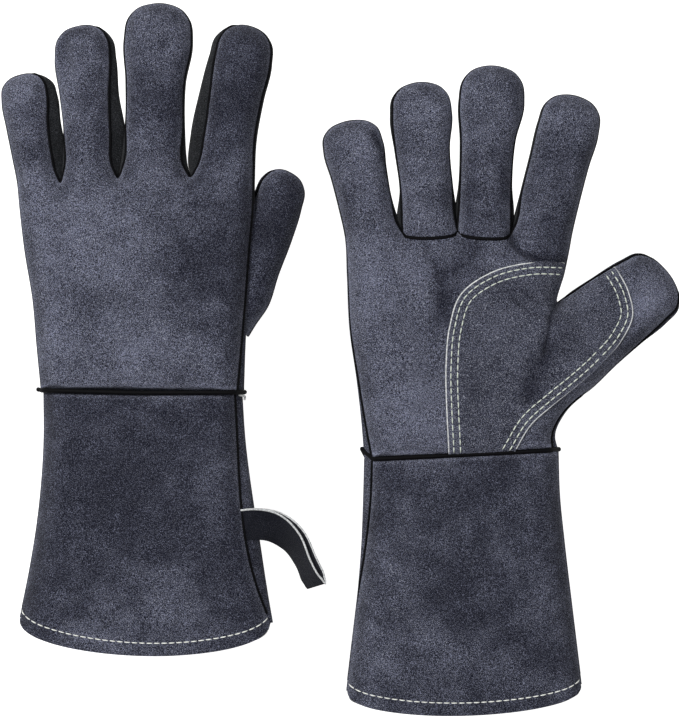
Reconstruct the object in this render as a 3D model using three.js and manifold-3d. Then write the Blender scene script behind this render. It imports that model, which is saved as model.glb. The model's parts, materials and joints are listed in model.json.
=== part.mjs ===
// A pair of 14 inch leather welding gloves, laid flat: the left glove palm down, the right glove palm
// up. Millimetres, +Z up from the bench, +Y towards the fingertips. The origin is the bottom centre of
// the pair.
//
// Each glove is a lined leather shell that a hand goes into. The hand and its cuff meet at a wrist
// seam, and the five digits meet the hand at their roots. The shell keeps a narrow open band at the
// wrist and at each root, where the soft leather folds, so that the rigid pieces on either side can
// turn. Every piece is its own closed solid.

import * as THREE from "three";
import { mergeVertices } from "three/addons/utils/BufferGeometryUtils.js";
import Module from "manifold-3d";

const { degToRad, lerp, smoothstep } = THREE.MathUtils;

// ---- Driving sizes ------------------------------------------------------------------------------

const LEATHER = 1.5; // split cowhide
const LINING = 1.8; // cotton fleece in the hand, canvas in the cuff
const PATCH = 1.3; // palm reinforcement
const GAP = 0.3; // between pieces that are sewn face to face
const REACH = 60; // how far a cutting tool runs past what it cuts

const DIGIT_HEIGHT = 23;
const HAND_RISE = 5; // the hand is this much thicker than its digits
const CUFF_RISE = 2; // and the cuff than the hand
const HAND_HEIGHT = DIGIT_HEIGHT + HAND_RISE;
const CUFF_HEIGHT = HAND_HEIGHT + CUFF_RISE;

const WRIST_WIDTH = 108;
const KNUCKLE_Y = 112; // from the wrist seam to the line that the fingers spring from
const KNUCKLE_EASE = 1.5; // the hand is this much wider than its fingers' roots, on each side
const HAND_END = 3.5; // the hand's shell starts this far past the wrist seam
const WRIST_WELT = 3.6; // width of the piping round the wrist
const WELT_PROUD = 1; // how far that piping stands out of the shell
const WRIST_OPEN = 10; // open band between the wrist piping and the cuff

const PATCH_SIDE = -10; // the patch's edge beside the middle of the palm
const PATCH_BELOW = 8; // from the knuckle line down to the patch's upper edge
const PATCH_ROUND = { across: 45, along: 44 }; // the quarter turn between those two edges
const PATCH_HEEL = 28; // where the patch's other edge leaves the wrist seam
const PATCH_WRAP = 8; // how far the patch follows the hand's side down

const CUFF_LENGTH = 141;
const CUFF_EASE = 2; // the cuff is this much narrower than the hand's wrist, on each side
const HEM_DROP = 15; // the hem is cut on an arc, this much longer at its middle
const SEAM_WELT = 1.4; // radius of the piping down the cuff's side seams

const ROOT_OPEN = 4; // half of the open band at each digit's root
const WALL_HEIGHT = 7; // height of the side wall between a finger's front and back
const THUMB_CLEARANCE = 2.2;

const STRAP_WIDTH = 17;
const STRAP = 1.4; // thickness of the hanging loop's leather
const STRAP_EYE = 8; // how far the loop's two runs stand apart near the fold
const STRAP_LENGTH = 49;
const STRAP_Y = -71; // from the wrist seam to the strap's middle, along the cuff's side
const STRAP_SAG = 2; // the strap leaves the cuff this far under its side seam
const STRAP_TURN = 26; // the loop curves down beside the cuff over this much of its length
const STRAP_HEADINGS = [-6, 66].map(degToRad); // below +X, before the curve and after it

const PAIR_NEST = 2; // how far the two gloves' outlines reach past each other, across
const PAIR_STAGGER = 32; // the right glove lies this much nearer

// A glove's cuff is pressed flat to its own hem width, a little to one side. Its fingers' roots stand
// side by side about knuckleMiddle, each a gap from its neighbour and a little past the knuckle line.
// The thumb's root is below that line, and inset from the hand's edge beside the index finger. A
// digit's lean is clockwise from +Y, in degrees, and its widths are at the root, at the waist and at
// the round of the tip.
const GLOVES = {
  left: {
    palmUp: false,
    hemWidth: 131,
    hemMiddle: 3,
    knuckleMiddle: -4.5,
    fingers: {
      little: { gap: 0, past: 1, lean: -7.5, length: 63, widths: [24, 28.5, 30.5] },
      ring: { gap: 0.75, past: 5, lean: -1.5, length: 85, widths: [27.5, 27.5, 33] },
      middle: { gap: 4.75, past: 6.5, lean: 2.5, length: 95.5, widths: [32, 32, 37] },
      index: { gap: 5, past: 3, lean: 9, length: 88, widths: [31, 30, 34] },
    },
    thumb: { below: 64, inset: 7.2, lean: 18, length: 79, widths: [33, 34.5, 31] },
  },
  right: {
    palmUp: true,
    hemWidth: 123,
    hemMiddle: 1.5,
    knuckleMiddle: -3.75,
    fingers: {
      little: { gap: 0, past: 5, lean: -11.5, length: 66, widths: [27, 29, 32] },
      ring: { gap: 3.75, past: 9, lean: -3.5, length: 82, widths: [27.5, 28, 33] },
      middle: { gap: 2.25, past: 9, lean: 2.5, length: 91, widths: [30, 31, 37] },
      index: { gap: 1, past: 3.5, lean: 12.5, length: 82, widths: [29, 31, 33] },
    },
    thumb: { below: 60, inset: 8, lean: 53, length: 77, widths: [50, 47, 45] },
  },
};

// ---- Materials ----------------------------------------------------------------------------------

const finish = (color, roughness) => new THREE.MeshStandardMaterial({ color, roughness, metalness: 0 });
const suede = finish(0x4a4d5c, 0.95);
const patchSuede = finish(0x42444f, 0.95);
const wallLeather = finish(0x292a30, 0.9);
const piping = finish(0x0e0f13, 0.55);
const fleece = finish(0xcfc8b8, 1);
const canvas = finish(0x8d8f92, 0.95);
const strapLeather = finish(0x16171c, 0.8);

// ---- Solids -------------------------------------------------------------------------------------

const wasm = await Module();
wasm.setup();

// A closed geometry as a manifold-3d solid.
function solid(geometry) {
  const bare = geometry.clone();
  bare.deleteAttribute("normal");
  bare.deleteAttribute("uv");
  const merged = mergeVertices(bare, 1e-4);
  return new wasm.Manifold(
    new wasm.Mesh({
      numProp: 3,
      vertProperties: new Float32Array(merged.attributes.position.array),
      triVerts: new Uint32Array(merged.index.array),
    }),
  );
}

// A solid as a named mesh.
function piece(name, made, material) {
  const { numVert, numProp, vertProperties, triVerts } = made.getMesh();
  const positions = new Float32Array(numVert * 3);
  for (let i = 0; i < numVert; i++) {
    positions.set(vertProperties.subarray(i * numProp, i * numProp + 3), i * 3);
  }
  const geometry = new THREE.BufferGeometry();
  geometry.setAttribute("position", new THREE.BufferAttribute(positions, 3));
  geometry.setIndex(new THREE.BufferAttribute(new Uint32Array(triVerts), 1));
  geometry.computeVertexNormals();
  const mesh = new THREE.Mesh(geometry, material);
  mesh.name = name;
  return mesh;
}

// A block between two corners.
function block(low, high) {
  const size = high.map((v, i) => v - low[i]);
  const centre = high.map((v, i) => (v + low[i]) / 2);
  return solid(new THREE.BoxGeometry(...size).translate(...centre));
}

// Everything between two heights, wide enough for a whole glove.
const slab = (low, high) => block([-REACH * 5, -REACH * 5, low], [REACH * 5, REACH * 5, high]);

// A vertical prism over a flat outline.
function prism(shape, low, high) {
  const options = { depth: high - low, bevelEnabled: false, curveSegments: 8 };
  return solid(new THREE.ExtrudeGeometry(shape, options).translate(0, 0, low));
}

// A flattened tube along +Y through its stations, each { y, x, width, z, height }, z at its underside.
// It is flat above and below and round at its sides, and its ends are flat.
const FLATNESS = 3.2; // exponent of the section: 2 is an ellipse
const OVERFULL = 1.12; // the section is drawn this much too tall and cut flat, so that it lies flat
function tube(stations, around) {
  const geometry = new THREE.CylinderGeometry(1, 1, stations.length - 1, around, stations.length - 1);
  const position = geometry.attributes.position;
  const last = stations.length - 1;
  for (let i = 0; i < position.count; i++) {
    const s = stations[Math.round(position.getY(i) + last / 2)];
    const across = position.getX(i);
    const up = position.getZ(i);
    const out = Math.sign(across) * Math.abs(across) ** (2 / FLATNESS);
    const rise = Math.sign(up) * Math.min(1, OVERFULL * Math.abs(up) ** (2 / FLATNESS));
    position.setXYZ(i, s.x + (s.width / 2) * out, s.y, s.z + (s.height / 2) * (1 + rise));
  }
  return solid(geometry);
}

// The stations of a skin this far inside the given one, or outside it if the depth is negative.
const inside = (stations, depth) =>
  stations.map((s) => ({
    ...s,
    width: s.width - 2 * depth,
    height: s.height - 2 * depth,
    z: s.z + depth,
  }));

// The stations carried straight on past their first one, and past their last one if it is asked for.
function through(stations, start, end = 0) {
  const first = { ...stations[0], y: stations[0].y - start };
  const last = { ...stations.at(-1), y: stations.at(-1).y + end };
  return [first, ...stations, ...(end ? [last] : [])];
}

// The hollow between two skins of one tube, open at both ends.
function openShell(stations, from, to, around) {
  const bore = tube(through(inside(stations, to), REACH, REACH), around);
  return tube(inside(stations, from), around).subtract(bore);
}

// The x of a tube's edge at some y along it, on its right (1) or its left (-1).
function edgeAt(stations, y, side) {
  const next = Math.max(1, stations.findIndex((s, i) => s.y >= y || i === stations.length - 1));
  const [a, b] = [stations[next - 1], stations[next]];
  return lerp(a.x + (side * a.width) / 2, b.x + (side * b.width) / 2, (y - a.y) / (b.y - a.y));
}

// A shell cut in two at a height, with the cut's gap.
function halves(shell, height) {
  const upper = shell.intersect(slab(height + GAP / 2, REACH * 2));
  const lower = shell.intersect(slab(-REACH, height - GAP / 2));
  return { upper, lower };
}

// ---- Digits -------------------------------------------------------------------------------------

const DIGIT_AROUND = 12;
const TIP_TURNS = [38, 70].map(degToRad); // the stations round a fingertip
const TIP_THIN = 0.35; // the share of its height that a fingertip would keep at its very end
const TIP_DROOP = 0.4; // how much of the height that it loses is lost from below

// The stations of a digit's skin at a depth, in the digit's own frame: its root at the origin, lying
// along +Y.
function digitStations({ length, widths }, depth) {
  const [root, waist, tip] = widths;
  const round = tip / 2 - depth;
  const straight = length - tip / 2;
  const full = DIGIT_HEIGHT - 2 * depth;
  const at = (y, width, height) => ({ y, x: 0, width, z: depth + (full - height) * TIP_DROOP, height });
  const rounding = TIP_TURNS.map((turn) => {
    const [sine, cosine] = [Math.sin(turn), Math.cos(turn)];
    return at(straight + round * sine, 2 * round * cosine, full * lerp(TIP_THIN, 1, cosine));
  });
  return [
    at(ROOT_OPEN, root - 2 * depth, full),
    at(straight / 2, waist - 2 * depth, full),
    at(straight, 2 * round, full),
    ...rounding,
  ];
}

// A digit's hollow shell from one depth under its skin to another, open at its root.
function digitShell(spec, from, to) {
  const bore = tube(through(digitStations(spec, to), REACH), DIGIT_AROUND);
  return tube(digitStations(spec, from), DIGIT_AROUND).subtract(bore);
}

// One digit: leather front and back, a side wall between them on a finger, and its lining.
function digit(side, name, spec, palmUp) {
  const group = new THREE.Group();
  group.name = `${side}_${name}`;
  group.position.set(spec.x, spec.y, 0);
  group.rotation.z = -degToRad(spec.lean);
  const leather = digitShell(spec, 0, LEATHER);
  const middle = DIGIT_HEIGHT / 2;
  const wall = name === "thumb" ? 0 : WALL_HEIGHT / 2;
  const { upper } = halves(leather, middle + wall);
  const { lower } = halves(leather, middle - wall);
  const [front, back] = palmUp ? [upper, lower] : [lower, upper];
  group.add(piece(`${side}_${name}_front`, front, suede));
  group.add(piece(`${side}_${name}_back`, back, suede));
  if (wall > 0) {
    const band = slab(middle - wall + GAP / 2, middle + wall - GAP / 2);
    group.add(piece(`${side}_${name}_sidewall`, leather.intersect(band), wallLeather));
  }
  const lining = digitShell(spec, LEATHER + GAP, LEATHER + GAP + LINING);
  group.add(piece(`${side}_${name}_lining`, lining, fleece));
  return group;
}

// The room that a digit and its open band take, as a solid in the hand's frame. The thumb leaves the
// hand's side, so its room is also open towards the palm, the way that it bends.
function digitRoom(name, spec, palmUp) {
  const place = new THREE.Matrix4().makeRotationZ(-degToRad(spec.lean)).setPosition(spec.x, spec.y, 0);
  if (name === "thumb") {
    const stations = through(digitStations(spec, -THUMB_CLEARANCE), 2 * ROOT_OPEN);
    const bend = stations.map((s) => ({ ...s, height: s.height + REACH, z: s.z - (palmUp ? 0 : REACH) }));
    return tube(stations, DIGIT_AROUND).add(tube(bend, DIGIT_AROUND)).transform(place.elements);
  }
  const half = spec.widths[0] / 2 + ROOT_OPEN;
  const left = name === "little" ? -REACH : -half;
  const right = name === "index" ? REACH : half;
  return block([left, -ROOT_OPEN, -REACH], [right, REACH, REACH * 2]).transform(place.elements);
}

// ---- Hand ---------------------------------------------------------------------------------------

const HAND_AROUND = 16;
const HAND_MIDDLE = { share: 0.45, waist: 2 }; // where the hand's side curves in, and by how much

function knuckleWidth({ fingers }) {
  return Object.values(fingers).reduce((sum, finger) => sum + finger.gap + finger.widths[0], 0);
}

// The stations of the hand's outer skin, up to the furthest finger's open band.
function handStations(glove, lift) {
  const wide = knuckleWidth(glove) + 2 * KNUCKLE_EASE;
  const end = Math.max(...Object.values(glove.fingers).map((finger) => finger.past)) - ROOT_OPEN;
  const at = (y, width, x) => ({ y, x, width, z: lift, height: HAND_HEIGHT });
  const { share, waist } = HAND_MIDDLE;
  return [
    at(HAND_END, WRIST_WIDTH, 0),
    at(KNUCKLE_Y * share, (WRIST_WIDTH + wide) / 2 - waist, (glove.knuckleMiddle * share) / 2),
    at(KNUCKLE_Y, wide, glove.knuckleMiddle),
    at(KNUCKLE_Y + end, wide, glove.knuckleMiddle),
  ];
}

// A glove's digits with their roots placed: the fingers along the knuckles, the thumb at the side.
function placedDigits(glove) {
  const digits = {};
  let edge = glove.knuckleMiddle - knuckleWidth(glove) / 2;
  for (const [name, finger] of Object.entries(glove.fingers)) {
    const x = edge + finger.gap + finger.widths[0] / 2;
    digits[name] = { ...finger, x, y: KNUCKLE_Y + finger.past };
    edge = x + finger.widths[0] / 2;
  }
  const { thumb } = glove;
  digits.thumb = { ...thumb, x: edge + KNUCKLE_EASE - thumb.inset, y: KNUCKLE_Y - thumb.below };
  return digits;
}

// The patch covers the thumb's side of the palm: straight beside the palm's middle, then a quarter
// turn towards the index finger, and cut off along the thumb's outer edge.
function patchShape(thumb) {
  const top = KNUCKLE_Y - PATCH_BELOW;
  const { across, along } = PATCH_ROUND;
  const heel = HAND_END + 1;
  const beyond = thumb.x + REACH / 3;
  const shape = new THREE.Shape();
  shape.moveTo(PATCH_HEEL, heel);
  shape.lineTo(beyond, thumb.y - ROOT_OPEN);
  shape.lineTo(beyond, top);
  shape.lineTo(PATCH_SIDE + across, top);
  shape.absellipse(PATCH_SIDE + across, top - along, across, along, Math.PI / 2, Math.PI, false);
  shape.lineTo(PATCH_SIDE, heel);
  return shape;
}

// The piping round the wrist, cut flat where the glove lies on it.
function wristWelt(wrist) {
  const ends = [HAND_END - GAP - WRIST_WELT, HAND_END - GAP].map((y) => ({ ...wrist, y }));
  return openShell(ends, -WELT_PROUD, LEATHER + GAP + LINING, HAND_AROUND).intersect(slab(0, REACH * 2));
}

function hand(side, glove) {
  const group = new THREE.Group();
  const { palmUp } = glove;
  // Palm down, the hand stands on its palm patch. Palm up, it lies on its back.
  const lift = palmUp ? 0 : PATCH + GAP;
  const stations = handStations(glove, lift);
  const digits = placedDigits(glove);
  const rooms = Object.entries(digits).map(([name, spec]) => digitRoom(name, spec, palmUp));
  const shell = (from, to) =>
    rooms.reduce((made, room) => made.subtract(room), openShell(stations, from, to, HAND_AROUND));

  const { upper, lower } = halves(shell(0, LEATHER), lift + HAND_HEIGHT / 2);
  const [palm, back] = palmUp ? [upper, lower] : [lower, upper];
  group.add(piece(`${side}_hand_palm`, palm, suede));
  group.add(piece(`${side}_hand_back`, back, suede));
  group.add(piece(`${side}_hand_lining`, shell(LEATHER + GAP, LEATHER + GAP + LINING), fleece));

  const [low, high] = palmUp ? [lift + HAND_HEIGHT - PATCH_WRAP, REACH] : [-REACH, lift + PATCH_WRAP];
  const patch = shell(-GAP - PATCH, -GAP).intersect(prism(patchShape(digits.thumb), low, high));
  group.add(piece(`${side}_palm_patch`, patch, patchSuede));
  group.add(piece(`${side}_wrist_welt`, wristWelt(stations[0]), piping));
  for (const [name, spec] of Object.entries(digits)) group.add(digit(side, name, spec, palmUp));
  return group;
}

// ---- Cuff ---------------------------------------------------------------------------------------

const CUFF_AROUND = 16;
const CUFF_WAIST = WRIST_WIDTH - 2 * CUFF_EASE;
const CUFF_CURVE = 2; // how far the cuff's sides curve in halfway along
const CUFF_START = HAND_END - GAP - WRIST_WELT - WRIST_OPEN;

function cuffStations({ hemWidth, hemMiddle }) {
  const at = (y, width, x) => ({ y, x, width, z: 0, height: CUFF_HEIGHT });
  return [
    at(-CUFF_LENGTH, hemWidth, hemMiddle),
    at(-CUFF_LENGTH / 2, (hemWidth + CUFF_WAIST) / 2 - CUFF_CURVE, hemMiddle / 2),
    at(CUFF_START, CUFF_WAIST, 0),
  ];
}

// Everything above the arc that the hem is cut on.
function hemCut({ hemWidth, hemMiddle }) {
  const radius = ((hemWidth / 2) ** 2 + HEM_DROP ** 2) / (2 * HEM_DROP);
  const half = Math.asin((hemWidth / 2 + 2) / radius);
  const shape = new THREE.Shape();
  shape.absarc(hemMiddle, radius - CUFF_LENGTH, radius, -Math.PI / 2 - half, -Math.PI / 2 + half, false);
  shape.lineTo(hemWidth, REACH);
  shape.lineTo(-hemWidth, REACH);
  return prism(shape, -REACH, REACH * 2);
}

// Piping down one side seam of the cuff, from the wrist to the hem.
function seamWelt(stations, side) {
  const out = side * (SEAM_WELT + 2 * GAP);
  const hem = -CUFF_LENGTH + HEM_DROP + 1;
  const points = [CUFF_START, -CUFF_LENGTH / 2, hem].map(
    (y) => new THREE.Vector3(edgeAt(stations, y, side) + out, y, CUFF_HEIGHT / 2),
  );
  const path = new THREE.CurvePath();
  path.add(new THREE.LineCurve3(points[0], points[1]));
  path.add(new THREE.LineCurve3(points[1], points[2]));
  const section = new THREE.Shape().absarc(0, 0, SEAM_WELT, 0, Math.PI * 2);
  return solid(new THREE.ExtrudeGeometry(section, { extrudePath: path, steps: 4, curveSegments: 4 }));
}

function cuff(side, glove) {
  const group = new THREE.Group();
  const stations = cuffStations(glove);
  const cut = hemCut(glove);
  const shell = (from, to) => openShell(stations, from, to, CUFF_AROUND).intersect(cut);
  const { upper, lower } = halves(shell(0, LEATHER), CUFF_HEIGHT / 2);
  const [palm, back] = glove.palmUp ? [upper, lower] : [lower, upper];
  group.add(piece(`${side}_cuff_palm`, palm, suede));
  group.add(piece(`${side}_cuff_back`, back, suede));
  group.add(piece(`${side}_cuff_lining`, shell(LEATHER + GAP, LEATHER + GAP + LINING), canvas));
  group.add(piece(`${side}_cuff_welt_thumb_side`, seamWelt(stations, 1), piping));
  group.add(piece(`${side}_cuff_welt_little_side`, seamWelt(stations, -1), piping));
  return group;
}

// ---- Hanging loop -------------------------------------------------------------------------------

// Where the strap's middle has got to after a length, from its root: first on a curve, then straight.
function strapCourse(length) {
  const [first, last] = STRAP_HEADINGS;
  const radius = STRAP_TURN / (last - first);
  const heading = first + Math.min(length, STRAP_TURN) / radius;
  const rest = Math.max(length - STRAP_TURN, 0);
  return {
    along: radius * (Math.sin(heading) - Math.sin(first)) + rest * Math.cos(heading),
    down: radius * (Math.cos(first) - Math.cos(heading)) + rest * Math.sin(heading),
    heading,
  };
}

// The side view of a strap folded in two: its runs lie together at the root and stand apart by the eye.
function foldedProfile() {
  const steps = 9;
  const turnAt = STRAP_LENGTH - STRAP_EYE / 2 - STRAP;
  const run = (sign, out) =>
    Array.from({ length: steps + 1 }, (_, i) => {
      const s = (turnAt * i) / steps;
      const open = smoothstep(s, 0.2 * STRAP_LENGTH, 0.75 * STRAP_LENGTH);
      return new THREE.Vector2(s, sign * (lerp(GAP / 2, STRAP_EYE / 2, open) + out));
    });
  const turns = [60, 30, 0, -30, -60].map(degToRad);
  const fold = (radius) =>
    turns.map((a) => new THREE.Vector2(turnAt + radius * Math.cos(a), radius * Math.sin(a)));
  const outer = [...run(1, STRAP), ...fold(STRAP_EYE / 2 + STRAP), ...run(-1, STRAP).reverse()];
  const inner = [...run(1, 0), ...fold(STRAP_EYE / 2), ...run(-1, 0).reverse()];
  return new THREE.Shape([...inner, ...outer.reverse()]);
}

// A strip of leather folded in two. Its profile is extruded by the strap's width, and then each point
// is carried along the strap's course beside the cuff.
function hangingLoop(side, glove) {
  const start = edgeAt(cuffStations(glove), STRAP_Y, 1) + 2 * SEAM_WELT + 4 * GAP;
  const geometry = new THREE.ExtrudeGeometry(foldedProfile(), { depth: STRAP_WIDTH, bevelEnabled: false });
  const position = geometry.attributes.position;
  const z = CUFF_HEIGHT / 2 - STRAP_SAG;
  for (let i = 0; i < position.count; i++) {
    const { along, down, heading } = strapCourse(position.getX(i));
    const across = STRAP_WIDTH / 2 - position.getZ(i);
    const x = start + along + across * Math.sin(heading);
    const y = STRAP_Y - down + across * Math.cos(heading);
    position.setXYZ(i, x, y, z + position.getY(i));
  }
  return piece(`${side}_hanging_loop`, solid(geometry), strapLeather);
}

// ---- Pair ---------------------------------------------------------------------------------------

const [left, right] = Object.entries(GLOVES).map(([side, glove]) => {
  const group = new THREE.Group();
  group.name = side;
  group.add(hand(side, glove), cuff(side, glove));
  return group;
});
left.add(hangingLoop("left", GLOVES.left));

// The gloves lie side by side, and the pair's middle is over the origin.
const boxOf = (object) => new THREE.Box3().setFromObject(object, true);
const apart = boxOf(left).max.x - boxOf(right).min.x - PAIR_NEST;
right.position.set(apart, -PAIR_STAGGER, 0);
const pair = new THREE.Group();
pair.add(left, right);
const middle = boxOf(pair).getCenter(new THREE.Vector3());
for (const glove of pair.children) glove.position.sub(new THREE.Vector3(middle.x, middle.y, 0));

export default pair;
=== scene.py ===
"""A pair of 14 inch leather welding gloves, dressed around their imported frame.

Each glove is cut and sewn as the real one is: a back and a palm panel, side walls between the
fingers, a thumb, a cuff of two panels, black piping in the seams, a stitched patch and a lining.
"""

import json
import logging
import math
from collections.abc import Callable, Sequence
from dataclasses import dataclass, field
from enum import Enum

import bpy
import numpy as np
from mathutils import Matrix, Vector, noise
from mathutils.geometry import delaunay_2d_cdt
from mathutils.kdtree import KDTree


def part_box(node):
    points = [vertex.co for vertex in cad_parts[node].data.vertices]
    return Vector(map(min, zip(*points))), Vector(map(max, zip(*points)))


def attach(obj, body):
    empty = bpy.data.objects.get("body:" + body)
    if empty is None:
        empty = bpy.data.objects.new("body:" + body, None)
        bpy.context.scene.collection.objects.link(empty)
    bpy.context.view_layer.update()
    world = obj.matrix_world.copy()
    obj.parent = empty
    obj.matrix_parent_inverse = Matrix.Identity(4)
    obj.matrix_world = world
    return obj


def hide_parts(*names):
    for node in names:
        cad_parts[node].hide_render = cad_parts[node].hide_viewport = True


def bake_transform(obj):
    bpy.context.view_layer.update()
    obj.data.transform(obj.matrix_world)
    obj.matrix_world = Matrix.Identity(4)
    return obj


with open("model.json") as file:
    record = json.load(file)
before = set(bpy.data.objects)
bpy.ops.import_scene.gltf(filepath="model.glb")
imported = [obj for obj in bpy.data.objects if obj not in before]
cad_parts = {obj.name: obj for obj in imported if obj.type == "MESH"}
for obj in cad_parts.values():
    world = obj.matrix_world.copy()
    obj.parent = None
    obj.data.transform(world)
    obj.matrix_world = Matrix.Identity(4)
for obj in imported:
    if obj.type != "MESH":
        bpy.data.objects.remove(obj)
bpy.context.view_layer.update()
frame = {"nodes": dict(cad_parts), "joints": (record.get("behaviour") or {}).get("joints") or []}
log = logging.getLogger("welding_gloves")

MM = 0.001
LEATHER = 1.5 * MM
LINING = 1.7 * MM
LINING_START = LEATHER + 0.3 * MM  # how deep under the leather's face the lining lies
FINGERS = ("little", "ring", "middle", "index")


class Side(Enum):
    """Which hand a glove is for, and so which way up it lies."""

    LEFT = "left"
    RIGHT = "right"

    @property
    def palm_up(self) -> bool:
        """The right glove lies palm up."""
        return self is Side.RIGHT


# ---- Finishes -----------------------------------------------------------------------------------


def socket_values(node: bpy.types.Node, values: dict) -> None:
    """Set a node's input sockets by name.

    Args:
        node: the shader node.
        values: each socket's name and its value.
    """
    for name, value in values.items():
        node.inputs[name].default_value = value


@dataclass(frozen=True)
class Suede:
    """Split cowhide: a short nap with pale flecks, over slow random patches of tone and each vertex's tone,
    which carries painted light and shade.
    """

    name: str
    dark: tuple[float, float, float]
    light: tuple[float, float, float]
    fleck: tuple[float, float, float] = (0.48, 0.50, 0.60)
    nap_scale: float = 2250.0
    cloud_scale: float = 24.0
    flecks: float = 0.9
    bump: float = 0.7
    sheen: float = 0.05
    nap_tone: float = 0.74
    grain_tone: float = 0.12
    cloud_tone: float = 0.13
    mottle_tone: float = 0.07
    darkest: float = -0.235
    lightest: float = 0.745
    contrast: float = 1.5

    def make(self) -> bpy.types.Material:
        """Build the node material.

        Returns:
            The finished material.
        """
        material = bpy.data.materials.new(self.name)
        material.use_nodes = True
        nodes, links = material.node_tree.nodes, material.node_tree.links
        shader = nodes["Principled BSDF"]
        socket_values(shader, {"Roughness": 0.92, "Sheen Weight": self.sheen, "Sheen Roughness": 0.5})
        shader.inputs["Specular IOR Level"].default_value = 0.12
        place = nodes.new("ShaderNodeTexCoord").outputs["Object"]

        def speckle(scale: float, detail: float, rough: float = 0.6) -> bpy.types.NodeSocket:
            """Random grain of the given scale."""
            texture = nodes.new("ShaderNodeTexNoise")
            socket_values(texture, {"Scale": scale, "Detail": detail, "Roughness": rough})
            links.new(place, texture.inputs["Vector"])
            return texture.outputs["Fac"]

        def remap(
            value: bpy.types.NodeSocket, low: float, high: float, out: Sequence[float]
        ) -> bpy.types.NodeSocket:
            """Stretch a value's range onto another."""
            stretch = nodes.new("ShaderNodeMapRange")
            socket_values(stretch, {"From Min": low, "From Max": high, "To Min": out[0], "To Max": out[1]})
            links.new(value, stretch.inputs["Value"])
            return stretch.outputs["Result"]

        def combine(
            a: bpy.types.NodeSocket, b: bpy.types.NodeSocket, how: str = "ADD"
        ) -> bpy.types.NodeSocket:
            """Add or multiply two values."""
            total = nodes.new("ShaderNodeMath")
            total.operation = how
            links.new(a, total.inputs[0])
            links.new(b, total.inputs[1])
            return total.outputs["Value"]

        def mix(amount: bpy.types.NodeSocket, base: object, over: tuple[float, ...]) -> bpy.types.NodeSocket:
            """Lay a colour over another, or over a colour socket, by an amount."""
            blend = nodes.new("ShaderNodeMix")
            blend.data_type = "RGBA"
            links.new(amount, blend.inputs["Factor"])
            if isinstance(base, tuple):
                blend.inputs[6].default_value = (*base, 1.0)
            else:
                links.new(base, blend.inputs[6])
            blend.inputs[7].default_value = (*over, 1.0)
            return blend.outputs[2]

        nap = speckle(self.nap_scale, 2.0, 0.75)
        grain = speckle(self.nap_scale * 0.42, 2.0)
        cloud = speckle(self.cloud_scale, 4.0, 0.5)
        mottle = speckle(self.cloud_scale * 3.2, 2.0, 0.5)
        tone = nodes.new("ShaderNodeAttribute")
        tone.attribute_name = "tone"
        slow = remap(cloud, 0.34, 0.66, (-self.cloud_tone, self.cloud_tone))
        patches = combine(slow, remap(mottle, 0.36, 0.64, (-self.mottle_tone, self.mottle_tone)))
        # Each vertex's tone, with its painted light and shade, is added to the slow random patches.
        clouds_and_shade = combine(patches, tone.outputs["Fac"])
        fine = remap(nap, 0.34, 0.66, (-self.nap_tone, self.nap_tone))
        naps = combine(fine, remap(grain, 0.35, 0.65, (-self.grain_tone, self.grain_tone)))
        ground = remap(combine(clouds_and_shade, naps), self.darkest, self.lightest, (0.0, 1.0))
        power = nodes.new("ShaderNodeMath")
        power.operation = "POWER"
        links.new(ground, power.inputs[0])
        power.inputs[1].default_value = self.contrast
        hide = mix(power.outputs["Value"], self.dark, self.light)
        sparse = remap(speckle(self.nap_scale * 1.1, 1.0, 0.4), 0.59, 0.70, (0.0, self.flecks))
        pale = combine(sparse, remap(clouds_and_shade, -0.22, 0.06, (0.25, 1.0)), "MULTIPLY")
        links.new(mix(pale, hide, self.fleck), shader.inputs["Base Color"])
        rise = nodes.new("ShaderNodeBump")
        socket_values(rise, {"Strength": self.bump, "Distance": 0.0006})
        links.new(naps, rise.inputs["Height"])
        links.new(rise.outputs["Normal"], shader.inputs["Normal"])
        return material


@dataclass(frozen=True)
class Plain:
    """A fine even finish with a grain: piping, thread, raw edge, lining cloth."""

    name: str
    dark: tuple[float, float, float]
    light: tuple[float, float, float]
    scale: float
    roughness: float = 0.8
    bump: float = 0.3
    rise: float = 0.0003
    gloss: float = 0.3

    def make(self) -> bpy.types.Material:
        """Build the node material.

        Returns:
            The finished material.
        """
        material = bpy.data.materials.new(self.name)
        material.use_nodes = True
        nodes, links = material.node_tree.nodes, material.node_tree.links
        shader = nodes["Principled BSDF"]
        shader.inputs["Roughness"].default_value = self.roughness
        shader.inputs["Specular IOR Level"].default_value = self.gloss
        place = nodes.new("ShaderNodeTexCoord")
        texture = nodes.new("ShaderNodeTexNoise")
        socket_values(texture, {"Scale": self.scale, "Detail": 3.0, "Roughness": 0.6})
        links.new(place.outputs["Object"], texture.inputs["Vector"])
        ramp = nodes.new("ShaderNodeValToRGB")
        ramp.color_ramp.elements[0].position = 0.35
        ramp.color_ramp.elements[1].position = 0.65
        ramp.color_ramp.elements[0].color = (*self.dark, 1.0)
        ramp.color_ramp.elements[1].color = (*self.light, 1.0)
        links.new(texture.outputs["Fac"], ramp.inputs["Fac"])
        links.new(ramp.outputs["Color"], shader.inputs["Base Color"])
        bump = nodes.new("ShaderNodeBump")
        socket_values(bump, {"Strength": self.bump, "Distance": self.rise})
        links.new(texture.outputs["Fac"], bump.inputs["Height"])
        links.new(bump.outputs["Normal"], shader.inputs["Normal"])
        return material


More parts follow.
